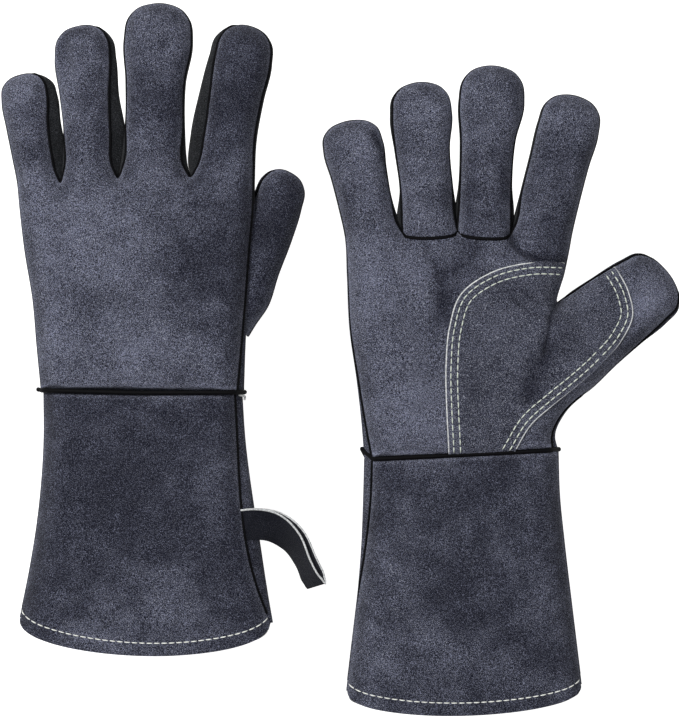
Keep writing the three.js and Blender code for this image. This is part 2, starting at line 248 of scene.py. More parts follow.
class Finishes:
    """The materials, each made once and found by its name."""

    def __init__(self) -> None:
        """Make every finish of the pair."""
        hide_dark = (0.0050, 0.0056, 0.0145)
        finishes = {
            "suede": Suede("blue_grey_suede", hide_dark, (0.310, 0.331, 0.462)),
            "patch_suede": Suede("patch_suede", hide_dark, (0.190, 0.203, 0.284)),
            # The side walls and webs take a darker copy of the hide: painted shade, as they stand sideways
            # in shadow.
            "wall_suede": Suede("wall_suede", (0.003, 0.0035, 0.005), (0.070, 0.076, 0.086), flecks=0.1),
            "strap_leather": Suede("strap_suede", (0.004, 0.005, 0.010), (0.020, 0.022, 0.036), flecks=0.1),
            "piping": Plain(
                "black_piping", (0.001, 0.001, 0.0015), (0.003, 0.003, 0.004), 900.0, 0.7, gloss=0.08
            ),
            "fleece": Plain(
                "cotton_fleece", (0.42, 0.39, 0.33), (0.70, 0.67, 0.60), 420.0, 1.0, bump=1.0, rise=1.2 * MM
            ),
            "canvas": Plain(
                "cotton_canvas", (0.20, 0.21, 0.22), (0.36, 0.37, 0.38), 700.0, roughness=0.95, bump=0.6
            ),
            "thread": Plain("white_thread", (0.74, 0.76, 0.72), (0.92, 0.92, 0.88), 2500.0, roughness=0.7),
            "patch_thread": Plain(
                "pale_green_thread", (0.52, 0.57, 0.50), (0.80, 0.84, 0.76), 2500.0, roughness=0.7
            ),
            "raw_edge": Plain(
                "raw_leather_edge", (0.36, 0.37, 0.38), (0.74, 0.75, 0.75), 900.0, roughness=0.95
            ),
        }
        self.made = {name: finish.make() for name, finish in finishes.items()}

    def dress(self, piece: bpy.types.Object, finish: str, slot: str) -> None:
        """Give a piece its material.

        Args:
            piece: the mesh object.
            finish: the finish's name here.
            slot: not used.
        """
        piece.data.materials.append(self.made[finish])


# ---- Curves and meshes --------------------------------------------------------------------------


def smooth_rows(rows: np.ndarray, step: float) -> tuple[np.ndarray, np.ndarray]:
    """Draw a smooth curve through rows of numbers, by Hermite spans that follow their spacing.

    Args:
        rows: (n, k) numbers, the first two columns a place.
        step: distance between samples.

    Returns:
        The samples, and for each the number of the row that its span starts from.
    """
    gaps = np.maximum(np.linalg.norm(np.diff(rows[:, :2], axis=0), axis=1), 1e-6)[:, None]
    slopes = np.diff(rows, axis=0) / gaps
    middle = (slopes[:-1] * gaps[1:] + slopes[1:] * gaps[:-1]) / (gaps[:-1] + gaps[1:])
    tangents = np.vstack([slopes[:1], middle, slopes[-1:]])
    samples, owners = [], []
    for i, gap in enumerate(gaps[:, 0]):
        count = max(1, round(gap / step))
        t = (np.arange(count) / count)[:, None]
        t2, t3 = t * t, t * t * t
        samples.append(
            (2 * t3 - 3 * t2 + 1) * rows[i]
            + (t3 - 2 * t2 + t) * gap * tangents[i]
            + (3 * t2 - 2 * t3) * rows[i + 1]
            + (t3 - t2) * gap * tangents[i + 1]
        )
        owners += [i] * count
    return np.vstack([*samples, rows[-1:]]), np.array([*owners, len(rows) - 1])


def smoothstep(low: float, high: float, value: np.ndarray) -> np.ndarray:
    """Ease from 0 at low to 1 at high."""
    t = np.clip((value - low) / (high - low), 0.0, 1.0)
    return t * t * (3 - 2 * t)


def unit(vectors: np.ndarray) -> np.ndarray:
    """Scale vectors to length one."""
    return vectors / np.maximum(np.linalg.norm(vectors, axis=-1, keepdims=True), 1e-12)


def vertex_normals(points: np.ndarray, triangles: np.ndarray) -> np.ndarray:
    """Average the faces' normals at each vertex, by area."""
    a, b, c = (points[triangles[:, k]] for k in range(3))
    faces = np.cross(b - a, c - a)
    normals = np.zeros_like(points)
    for k in range(3):
        np.add.at(normals, triangles[:, k], faces)
    return unit(normals)


def mesh_piece(
    name: str, points: np.ndarray, faces: Sequence, tone: np.ndarray | None = None
) -> bpy.types.Object:
    """Make a mesh object at the origin.

    Args:
        name: the piece's name.
        points: its vertices, in metres.
        faces: its faces, facing out.
        tone: how light the finish is at each vertex, about 0.

    Returns:
        The object, smooth shaded.
    """
    mesh = bpy.data.meshes.new(name)
    mesh.from_pydata(np.asarray(points).tolist(), [], [list(map(int, f)) for f in faces])
    mesh.shade_smooth()
    shade = mesh.attributes.new("tone", "FLOAT", "POINT")
    shade.data.foreach_set("value", np.zeros(len(points)) if tone is None else np.asarray(tone, float))
    piece = bpy.data.objects.new(name, mesh)
    bpy.context.scene.collection.objects.link(piece)
    return piece


@dataclass
class Surface:
    """A skin's outer face as a triangle mesh, with its normals worked out over the whole skin."""

    points: np.ndarray
    triangles: np.ndarray
    normals: np.ndarray
    tone: np.ndarray

    def part(self, keep: np.ndarray) -> "Surface":
        """Cut out some of the triangles, which keep the whole skin's normals.

        Args:
            keep: True for each triangle that stays.

        Returns:
            The part.
        """
        triangles = self.triangles[keep]
        used, renumbered = np.unique(triangles, return_inverse=True)
        return Surface(self.points[used], renumbered.reshape(-1, 3), self.normals[used], self.tone[used])

    def shell(self, name: str, near: float, far: float) -> bpy.types.Object:
        """Thicken the skin into a closed shell between two depths under it.

        Args:
            name: the piece's name.
            near: depth of its outer face.
            far: depth of its inner face.

        Returns:
            The object, whose shading runs on over the joints between parts.
        """
        count = len(self.points)
        points = np.vstack([self.points - near * self.normals, self.points - far * self.normals])
        edges = np.vstack([self.triangles[:, [0, 1]], self.triangles[:, [1, 2]], self.triangles[:, [2, 0]]])
        seen = {(int(a), int(b)) for a, b in edges}
        rim = [(a, b) for a, b in seen if (b, a) not in seen]
        quads = [(b, a, a + count, b + count) for a, b in rim]
        inner = self.triangles[:, ::-1] + count
        piece = mesh_piece(name, points, [*self.triangles, *inner, *quads], np.tile(self.tone, 2))
        loops = [*self.normals[self.triangles.ravel()], *(-self.normals[self.triangles[:, ::-1].ravel()])]
        for a, b in rim:
            out = np.cross(self.points[b] - self.points[a], self.normals[a] + self.normals[b])
            loops += [unit(out)] * 4
        piece.data.normals_split_custom_set([tuple(n) for n in loops])
        return piece


def grid_surface(rows: np.ndarray, tone: float = 0.0) -> Surface:
    """Make a skin from rows of points, each row as long as the next.

    Args:
        rows: (n, k, 3) points.
        tone: how light the finish is.

    Returns:
        The skin, which faces the side from which rows run up and columns run right.
    """
    n, k = rows.shape[:2]
    corner = (np.arange(n - 1)[:, None] * k + np.arange(k - 1)[None, :]).ravel()
    triangles = np.vstack(
        [
            np.stack([corner, corner + 1, corner + k + 1], axis=1),
            np.stack([corner, corner + k + 1, corner + k], axis=1),
        ]
    )
    points = rows.reshape(-1, 3)
    return Surface(points, triangles, vertex_normals(points, triangles), np.full(len(points), tone))


def tube_piece(
    name: str, path: np.ndarray, radius: float, closed: bool = False, around: int = 8
) -> bpy.types.Object:
    """Run a round tube along a path, with rounded ends where it is open.

    Args:
        name: the piece's name.
        path: (n, 3) points.
        radius: the tube's radius.
        closed: whether the path's end meets its start.
        around: sides of the tube.

    Returns:
        The object.
    """
    points, faces = tube_mesh(path, np.full(len(path), radius), closed, around)
    return mesh_piece(name, points, faces)


def tube_mesh(path: np.ndarray, radii: np.ndarray, closed: bool, around: int) -> tuple[np.ndarray, list]:
    """Points and faces of a tube along a path; an open one is drawn in to a point at its ends."""
    if closed:
        ahead = np.roll(path, -1, axis=0) - np.roll(path, 1, axis=0)
    else:
        ahead = np.gradient(path, axis=0)
    ahead = unit(ahead)
    up = np.tile([0.0, 0.0, 1.0], (len(path), 1))
    across = np.cross(ahead, up)
    steep = np.linalg.norm(across, axis=1) < 0.2
    across[steep] = np.cross(ahead[steep], [0.0, 1.0, 0.0])
    across = unit(across)
    for i in range(1, len(across)):
        if across[i] @ across[i - 1] < 0:
            across[i] *= -1
    other = np.cross(across, ahead)
    turns = np.arange(around) * 2 * math.pi / around
    circle = np.cos(turns)[None, :, None] * across[:, None, :]
    circle = circle + np.sin(turns)[None, :, None] * other[:, None, :]
    rings = path[:, None, :] + radii[:, None, None] * circle
    n = len(path)
    points = rings.reshape(-1, 3)
    faces = []
    for i in range(n if closed else n - 1):
        j = (i + 1) % n
        for k in range(around):
            m = (k + 1) % around
            faces.append((i * around + k, i * around + m, j * around + m, j * around + k))
    if not closed:
        ends = np.vstack([path[0] - ahead[0] * radii[0] * 0.6, path[-1] + ahead[-1] * radii[-1] * 0.6])
        points = np.vstack([points, ends])
        low, high, last = n * around, n * around + 1, (n - 1) * around
        for k in range(around):
            m = (k + 1) % around
            faces.append((m, k, low))
            faces.append((last + k, last + m, high))
    return points, faces


# ---- Panels -------------------------------------------------------------------------------------


class Skin:
    """The face of a panel, crowned in its middle and rolled over to its seams."""

    def __init__(self, seams: Sequence[np.ndarray], crown: Callable, roll: Callable) -> None:
        """Remember the seams that the face rolls down to.

        Args:
            seams: (n, 3) lines of points along the rolled edges.
            crown: gives the height of the middle of the panel at (n, 2) places.
            roll: gives the distance over which it rolls down there.
        """
        self.seam = np.vstack(seams)
        starts = np.cumsum([0, *(len(s) for s in seams)])
        self.before = np.arange(len(self.seam)) - 1
        self.after = np.arange(len(self.seam)) + 1
        for first, end in zip(starts[:-1], starts[1:], strict=True):
            self.before[first] = first
            self.after[end - 1] = end - 1
        self.crown, self.roll = crown, roll
        self.tree = KDTree(len(self.seam))
        for i, (x, y, _) in enumerate(self.seam):
            self.tree.insert((x, y, 0.0), i)
        self.tree.balance()

    def edge(self, places: np.ndarray) -> tuple[np.ndarray, np.ndarray]:
        """Find the nearest seam.

        Args:
            places: (n, 2) places.

        Returns:
            The distance to it, and its height there.
        """
        nearest = np.array([self.tree.find((x, y, 0.0))[1] for x, y in places[:, :2]])
        best, height = np.full(len(places), np.inf), np.zeros(len(places))
        for other in (self.before[nearest], self.after[nearest]):
            a, b = self.seam[nearest], self.seam[other]
            run = (b - a)[:, :2]
            share = ((places[:, :2] - a[:, :2]) * run).sum(1) / np.maximum((run**2).sum(1), 1e-12)
            foot = a + np.clip(share, 0, 1)[:, None] * (b - a)
            gap = np.linalg.norm(places[:, :2] - foot[:, :2], axis=1)
            closer = gap < best
            best[closer], height[closer] = gap[closer], foot[closer, 2]
        return best, height

    def height(self, places: np.ndarray) -> np.ndarray:
        """Give the face's height at (n, 2) places."""
        distance, edge = self.edge(places)
        flat = 1 - np.clip(distance / self.roll(places), 0, 1)
        return edge + (self.crown(places) - edge) * (1 - flat**2.3) ** 0.6

    def lay(self, places: np.ndarray, proud: float) -> np.ndarray:
        """Put (n, 2) places on the face, a little proud of it."""
        return np.column_stack([places, self.height(places) + proud])


RINGS = tuple(v * MM for v in (0.35, 0.9, 1.7, 2.8, 4.2, 6.0, 8.2, 10.8, 13.8))
FIELD_SPACING = 3.2 * MM
CROWD = 0.7 * MM
FOLD_STEP = 0.9 * MM
WIDE_DENTS = 19  # dents in a metre of leather
CLOSE_DENTS = 55


def inside(polygon: np.ndarray, places: np.ndarray) -> np.ndarray:
    """Tell which (n, 2) places lie within a polygon."""
    a, b = polygon, np.roll(polygon, -1, axis=0)
    within = np.zeros(len(places), bool)
    for (ax, ay), (bx, by) in zip(a, b, strict=True):
        if ay == by:
            continue
        crossed = (ay > places[:, 1]) != (by > places[:, 1])
        within ^= crossed & (places[:, 0] < (bx - ax) * (places[:, 1] - ay) / (by - ay) + ax)
    return within


def fill(
    border: np.ndarray, splits: Sequence[np.ndarray] = (), folds: Sequence[np.ndarray] = ()
) -> tuple[np.ndarray, np.ndarray]:
    """Triangulate a flat outline, finely near its edge and coarsely in its middle.

    Args:
        border: (n, 2) outline, clockwise from above.
        splits: lines across it that no triangle crosses; their ends lie on the border.
        folds: lines with close points on either side, so that a fold pressed along them shows.

    Returns:
        The (m, 2) points, and the triangles, anticlockwise from above.
    """
    ahead = unit(np.roll(border, -1, axis=0) - np.roll(border, 1, axis=0))
    inward = np.column_stack([ahead[:, 1], -ahead[:, 0]])
    edge = KDTree(len(border))
    for i, (x, y) in enumerate(border):
        edge.insert((x, y, 0.0), i)
    edge.balance()

    def clear(places: np.ndarray, distance: float) -> np.ndarray:
        """Which places are at least this far from every point so far."""
        return np.array([edge.find((x, y, 0.0))[2] >= distance for x, y in places], bool)

    layers = []
    for fold in folds:
        ahead = unit(np.gradient(fold, axis=0))
        aside = np.column_stack([ahead[:, 1], -ahead[:, 0]])
        for shift in (0, -1, 1, -2, 2, -3, 3):
            row = fold + aside * shift * FOLD_STEP
            row = row[inside(border, row)]
            layers.append(row[clear(row, 1.5 * MM)])
    for depth in RINGS:
        ring = (border + inward * depth)[:: 1 if depth < 2 * MM else 2]
        layers.append(ring[clear(ring, 0.95 * depth)])
    low, high = border.min(0), border.max(0)
    across = np.arange(low[0], high[0], FIELD_SPACING)
    along = np.arange(low[1], high[1], FIELD_SPACING * 0.87)
    field_points = np.array(
        [(x + (i % 2) * FIELD_SPACING / 2, y) for i, y in enumerate(along) for x in across]
    )
    field_points = field_points[inside(border, field_points)]
    layers.append(field_points[clear(field_points, RINGS[-1] + 1.5 * MM)])
    points, edges = [tuple(p) for p in border], []
    edges += [(i, (i + 1) % len(border)) for i in range(len(border))]
    for split in splits:
        ends = [edge.find((*split[k], 0.0))[1] for k in (0, -1)]
        first = len(points)
        points += [tuple(p) for p in split[1:-1]]
        chain = [ends[0], *range(first, len(points)), ends[1]]
        edges += list(zip(chain[:-1], chain[1:], strict=True))
    taken = {(round(x / CROWD), round(y / CROWD)) for x, y in points[len(border) :]}
    for x, y in np.vstack(layers):
        cell = (round(x / CROWD), round(y / CROWD))
        if cell not in taken:
            taken.add(cell)
            points.append((x, y))
    made = delaunay_2d_cdt([Vector(p) for p in points], edges, [], 1, 1e-7)
    return np.array([tuple(v) for v in made[0]]), np.array([tuple(f) for f in made[2]])


def undulate(places: np.ndarray, seed: float) -> np.ndarray:
    """The slow dents of soft leather that lies on a table, at (n, 2) places."""
    wide = [noise.noise(Vector((x * WIDE_DENTS, y * WIDE_DENTS, seed))) for x, y in places]
    close = [noise.noise(Vector((x * CLOSE_DENTS, y * CLOSE_DENTS, seed + 7))) for x, y in places]
    return 1.1 * MM * np.array(wide) + 0.35 * MM * np.array(close)


# ---- The pattern --------------------------------------------------------------------------------

STATIONS = (0.07, 0.3, 0.55, 0.78)
CAP_TURNS = tuple(math.radians(a) for a in (-62, -36, -12, 12, 36, 62))
OUTLINE_STEP = 1.1 * MM
# Painted shade: how much darker the side walls are drawn, as they face sideways away from the light.
WALL_SHADE = -0.16
# Painted shade in the pressed folds, per millimetre of their depth.
CREASE_SHADE = 0.26


@dataclass(frozen=True)
class DigitCut:
    """A finger's cut, in millimetres, at the stations from its root to its tip's round.

    left and right are how far its upper panel reaches from its axis. wall_left and wall_right are how
    much of its side wall lies outside that panel. tall is half the side wall's height on either side.
    """

    left: tuple[float, ...]
    right: tuple[float, ...]
    wall_left: tuple[float, ...] = (0.5, 0.5, 0.5, 0.5)
    wall_right: tuple[float, ...] = (0.5, 0.5, 0.5, 0.5)
    tall: tuple[float, float] = (3.5, 3.5)


@dataclass(frozen=True)
class GloveCut:
    """One glove's cut, in millimetres from the middle of its wrist seam, with its fingers up.

    A side is a list of (y, x of the upper panel's seam, x of the outermost leather).
    """

    lift: float
    wrist: tuple[float, float, float]
    welt_rise: float
    little_side: tuple[tuple[float, float, float], ...]
    thumb_side: tuple[tuple[float, float, float], ...]
    cuff_little_side: tuple[tuple[float, float, float], ...]
    cuff_thumb_side: tuple[tuple[float, float, float], ...]
    hem_middle: tuple[float, float]
    crotches: tuple[tuple[float, float, float], ...]
    # tones: (x, y, reach, amount) broad lighter and darker patches, partly the hide's own uneven tone and
    # partly painted shade, as over the left glove's tucked thumb.
    tones: tuple[tuple[float, float, float, float], ...]
    digits: dict[str, DigitCut] = field(default_factory=dict)


CUTS = {
    Side.LEFT: GloveCut(
        lift=1.6,
        wrist=(3.1, 1.9, 2.1),
        welt_rise=0.4,
        little_side=(
            (3.2, -54.2, -54.8),
            (28, -56.6, -57.1),
            (52, -58.7, -59.2),
            (79, -63.1, -63.6),
            (104, -66, -66.6),
        ),
        thumb_side=(
            (104, 59.9, 61.3),
            (79, 57.8, 59.3),
            (52, 55.8, 57.6),
            (25, 53.6, 56.2),
            (2.2, 51.6, 55.4),
        ),
        cuff_little_side=(
            (3.0, -53, -53.5),
            (-24, -52.9, -53.4),
            (-70, -56.7, -57.2),
            (-93, -60.4, -61),
            (-120, -65.8, -66.4),
        ),
        cuff_thumb_side=(
            (2.0, 50.3, 54.4),
            (-24, 51.6, 56.1),
            (-59, 53.8, 60.4),
            (-79, 56.4, 63.6),
            (-99, 61, 66.8),
            (-123, 69.4, 71.2),
        ),
        hem_middle=(4.3, -139.5),
        crotches=((-44.3, 115.5, 1), (-13, 118, 1), (26.5, 118.5, 1)),
        # The darker spots at (38, 62) and (76, 92) paint shade over the tucked thumb, which lies lower, and
        # the hand's edge beside it; the others are broad lighter and darker patches.
        tones=(
            (52, 158, 30, -0.34),
            (38, 62, 24, -0.22),
            (76, 92, 30, -0.34),
            (-12, 63, 32, 0.05),
            (8, 163, 24, -0.13),
            (-44, 30, 20, 0.04),
            (-60, 140, 20, -0.07),
        ),
        digits={
            "little": DigitCut(
                (12.2, 13, 14, 14.6), (9.5, 8, 8.3, 10), wall_right=(4, 7.3, 6.6, 5.2), tall=(0.8, 3.5)
            ),
            "ring": DigitCut(
                (13.2, 12.8, 14.5, 16.6), (12.6, 11.8, 11.7, 12.8),
                (2.6, 0.9, 0.7, 0.6), (4.6, 7.6, 5.2, 3.4),
            ),
            "middle": DigitCut(
                (15.8, 15.6, 16.3, 18.2), (16, 15, 14.6, 17.6), (2.8, 1.1, 1.1, 1), (2.6, 1.1, 1.1, 1)
            ),
            "index": DigitCut(
                (13.8, 12.1, 12.5, 12.8), (16.8, 14.2, 14.7, 16.4),
                (4.6, 7.8, 6.3, 4), (1.3, 1.7, 1.7, 1.5), (3.5, 1.6),
            ),
            "thumb": DigitCut(
                (15, 16, 15, 10.4), (14.2, 14.2, 15, 14.6),
                wall_left=(0.5, 0.5, 0.5, 1.8), tall=(0.8, 0.8),
            ),
        },
    ),
    Side.RIGHT: GloveCut(
        lift=0.0,
        wrist=(-2.0, 0.5, 3.1),
        welt_rise=5.2,
        little_side=(
            (-1.9, -50.4, -54.8),
            (19, -54.2, -56.6),
            (41, -57.8, -59.2),
            (68, -62, -63),
            (97, -63.6, -64.4),
        ),
        thumb_side=((113, 56.2, 56.8), (98, 53.1, 53.7)),
        cuff_little_side=(
            (-2.1, -50.4, -54.9),
            (-22, -51, -55.4),
            (-53, -54.3, -56.8),
            (-76, -58, -58.8),
            (-98, -60.6, -61.2),
            (-128, -64.2, -64.8),
        ),
        cuff_thumb_side=(
            (3.0, 50, 50.6),
            (-22, 50.8, 51.4),
            (-48, 53.4, 54),
            (-85, 57.8, 58.4),
            (-124.5, 62.6, 63.2),
        ),
        hem_middle=(4.9, -139.5),
        crotches=((-34, 120, 6), (-4.4, 121, 3), (24.4, 119.4, 2)),
        tones=(
            (-38, 80, 30, 0.12),
            (-30, 27, 22, 0.12),
            (98, 86, 16, 0.34),
            (-60, 155, 20, 0.16),
            (-10, 82, 15, -0.12),
            (14, 160, 20, -0.08),
        ),
        digits={
            "little": DigitCut(
                (13.6, 13.8, 14.6, 15.8), (14.6, 14.2, 14.8, 16),
                wall_right=(2.2, 0.9, 0.8, 0.6), tall=(0.8, 3.5),
            ),
            "ring": DigitCut(
                (14.2, 13.8, 15.2, 15.8), (13.8, 13.6, 13.4, 16),
                (2.5, 0.9, 1.0, 1.7), (2, 1.0, 0.8, 0.6),
            ),
            "middle": DigitCut(
                (15.4, 15.1, 15.6, 17.2), (12.6, 12, 13, 17.2), (2, 1.1, 1, 0.9), (2, 1.1, 1, 0.8)
            ),
            "index": DigitCut(
                (16.2, 16.6, 16, 15.6), (14.4, 14.6, 15.4, 16.8),
                wall_left=(2, 1, 0.8, 0.6), tall=(3.5, 0.8),
            ),
            "thumb": DigitCut(
                (25.5, 24, 23, 21), (23.6, 21.4, 19.5, 17.4),
                (0.5, 0.8, 1.1, 1.6), (0.5, 0.7, 1.1, 2.4), (0.8, 0.8),
            ),
        },
    ),
}
PATCH_SIDE = (
    (-9.4, 0.9),
    (-10.6, 22.8),
    (-11.1, 47.8),
    (-9.2, 69),
    (-3.3, 86.4),
    (12, 97.8),
    (34.2, 103.6),
    (53.2, 103.8),
)
PATCH_CROSS = (
    (80.8, 101.8),
    (87.6, 87.5),
    (89.7, 76.1),
    (84, 62.6),
    (71.6, 48.9),
    (59.1, 37.7),
    (46.7, 27.7),
    (34.2, 16.5),
    (25.6, 1.9),
)
LOWER_PATCH_CROSS = ((50, 30), (44, 20), (36, 10), (30, 1.0))
PATCH_THREADS = (2.6 * MM, 6.2 * MM)  # how far in from the patch's edge its two rows of thread run
THUMB_CROTCH = (50.5, 82.8)
THUMB_HEEL = ((29.9, 59.4, 61.0), (21.7, 51.4, 53.6), (9.5, 46.2, 48.8), (3.2, 46.6, 50.2))


class DigitAxis:
    """A digit's own frame: from its root along its length, and across it to the right."""

    def __init__(self, side: Side, name: str, root: Sequence[float]) -> None:
        """Find the digit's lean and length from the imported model.

        Args:
            side: which glove.
            name: which digit.
            root: where its joint is.
        """
        self.root = np.array(root[:2])
        vertices = frame["nodes"][f"{side.value}_{name}_back"].data.vertices
        places = np.array([v.co[:2] for v in vertices]) - self.root
        reach = np.linalg.norm(places, axis=1)
        self.along = unit(places[reach > reach.max() - 1.5 * MM].mean(0))
        self.across = np.array([self.along[1], -self.along[0]])
        self.length = (places @ self.along).max() + 1.0 * MM

    def at(self, across: float, along: float) -> np.ndarray:
        """The place this far across and along, in metres."""
        return self.root + across * self.across + along * self.along

    def local(self, places: np.ndarray) -> tuple[np.ndarray, np.ndarray]:
        """How far across and along (n, 2) places are."""
        return (places - self.root) @ self.across, (places - self.root) @ self.along


def outline_row(
    seam: np.ndarray, rim: np.ndarray, middle: float, tall: float, proud: float = 0.0
) -> list[float]:
    """One station of an outline.

    Args:
        seam: place of the upper panel's seam.
        rim: place of the outermost leather.
        middle: height of the middle of the side.
        tall: half the height of the side wall.
        proud: how much higher than that the upper seam is.

    Returns:
        The places of the upper seam, the rim and the lower seam, then the two seams' heights.
    """
    seam, rim = np.asarray(seam, float), np.asarray(rim, float)
    out = unit(rim - seam)
    wide = np.linalg.norm(rim - seam)
    lower = rim - out * min(1.4 * MM, wide)
    return [*seam, *rim, *lower, middle + tall + proud, middle - tall]


class Outline:
    """The edge of a hand or a cuff: its upper seam, its rim and its lower seam, and who owns what."""

    def __init__(self) -> None:
        """Start with no rows."""
        self.rows: list[list[float]] = []
        self.owners: list[str] = []

    def add(self, owner: str, row: list[float]) -> None:
        """Add a station, which belongs to a body from here to the next one."""
        self.rows.append(row)
        self.owners.append(owner)

    def draw(self) -> None:
        """Run smooth curves through the rows."""
        samples, spans = smooth_rows(np.array(self.rows), OUTLINE_STEP)
        self.owner = np.array(self.owners)[spans]
        self.span = spans
        self.upper = np.column_stack([samples[:, 0:2], samples[:, 6]])
        self.rim = np.column_stack([samples[:, 2:4], (samples[:, 6] + samples[:, 7]) / 2])
        self.lower = np.column_stack([samples[:, 4:6], samples[:, 7]])

    def stretches(self, owner: str) -> list[slice]:
        """The runs of samples that a body owns, each with the first sample of the next run."""
        marks = np.flatnonzero(np.diff(np.concatenate([[0], (self.owner == owner).astype(int), [0]])))
        return [slice(a, min(b + 1, len(self.owner))) for a, b in zip(marks[::2], marks[1::2], strict=True)]

    def wall(self, run: slice) -> Surface:
        """The side wall along a run, bulging from the lower seam over the rim to the upper seam, darkened
        with painted shade.
        """
        upper, rim, lower = self.upper[run], self.rim[run], self.lower[run]
        pull = 2 * rim - (upper + lower) / 2
        t = np.linspace(0, 1, 8)[None, :, None]
        rows = (1 - t) ** 2 * lower[:, None] + 2 * t * (1 - t) * pull[:, None] + t**2 * upper[:, None]
        return grid_surface(rows, WALL_SHADE)

    def welt(self, run: slice) -> bpy.types.Object:
        """The piping along the upper seam: full where its wall shows, tucked in where it doesn't."""
        upper, rim = self.upper[run], self.rim[run]
        wide = np.linalg.norm((rim - upper)[:, :2], axis=1)
        seen = smoothstep(0.5 * MM, 1.3 * MM, wide)
        path = upper + unit(rim - upper) * ((0.9 * seen - 0.55) * MM)[:, None]
        path[:, 2] -= (1 - seen) * 0.9 * MM
        points, faces = tube_mesh(path, WELT * (0.5 + 0.5 * seen), False, 7)
        return mesh_piece("welt", points, faces)


# ---- A glove ------------------------------------------------------------------------------------

DIGIT_MIDDLE = 11.5 * MM
HAND_MIDDLE = 14 * MM
FOLD_REACH = 28 * MM  # a length past a digit's root, which attach() measures out
WELT = 0.95 * MM
LOWER_WELT = 0.8 * MM
KNUCKLES = (86 * MM, 124 * MM)  # where the hand thins to its fingers, up from the wrist
HAND_CROWN = 27.4 * MM
DIGIT_CROWN = 22.4 * MM
CUFF_CROWN = 28.6 * MM
WRIST_WELT = 1.3 * MM
GROOVE = 2.0 * MM  # how deep the skins roll down to the wrist seam


def bump_along(line: np.ndarray, places: np.ndarray, width: float) -> np.ndarray:
    """A rounded ridge of height 1 along a flat line, at (n, 2) places."""
    nearest = np.full(len(places), np.inf)
    for a, b in zip(line[:-1], line[1:], strict=True):
        share = np.clip(((places - a) @ (b - a)) / ((b - a) @ (b - a)), 0, 1)
        nearest = np.minimum(nearest, np.linalg.norm(places - a - share[:, None] * (b - a), axis=1))
    return np.exp(-((nearest / width) ** 2))


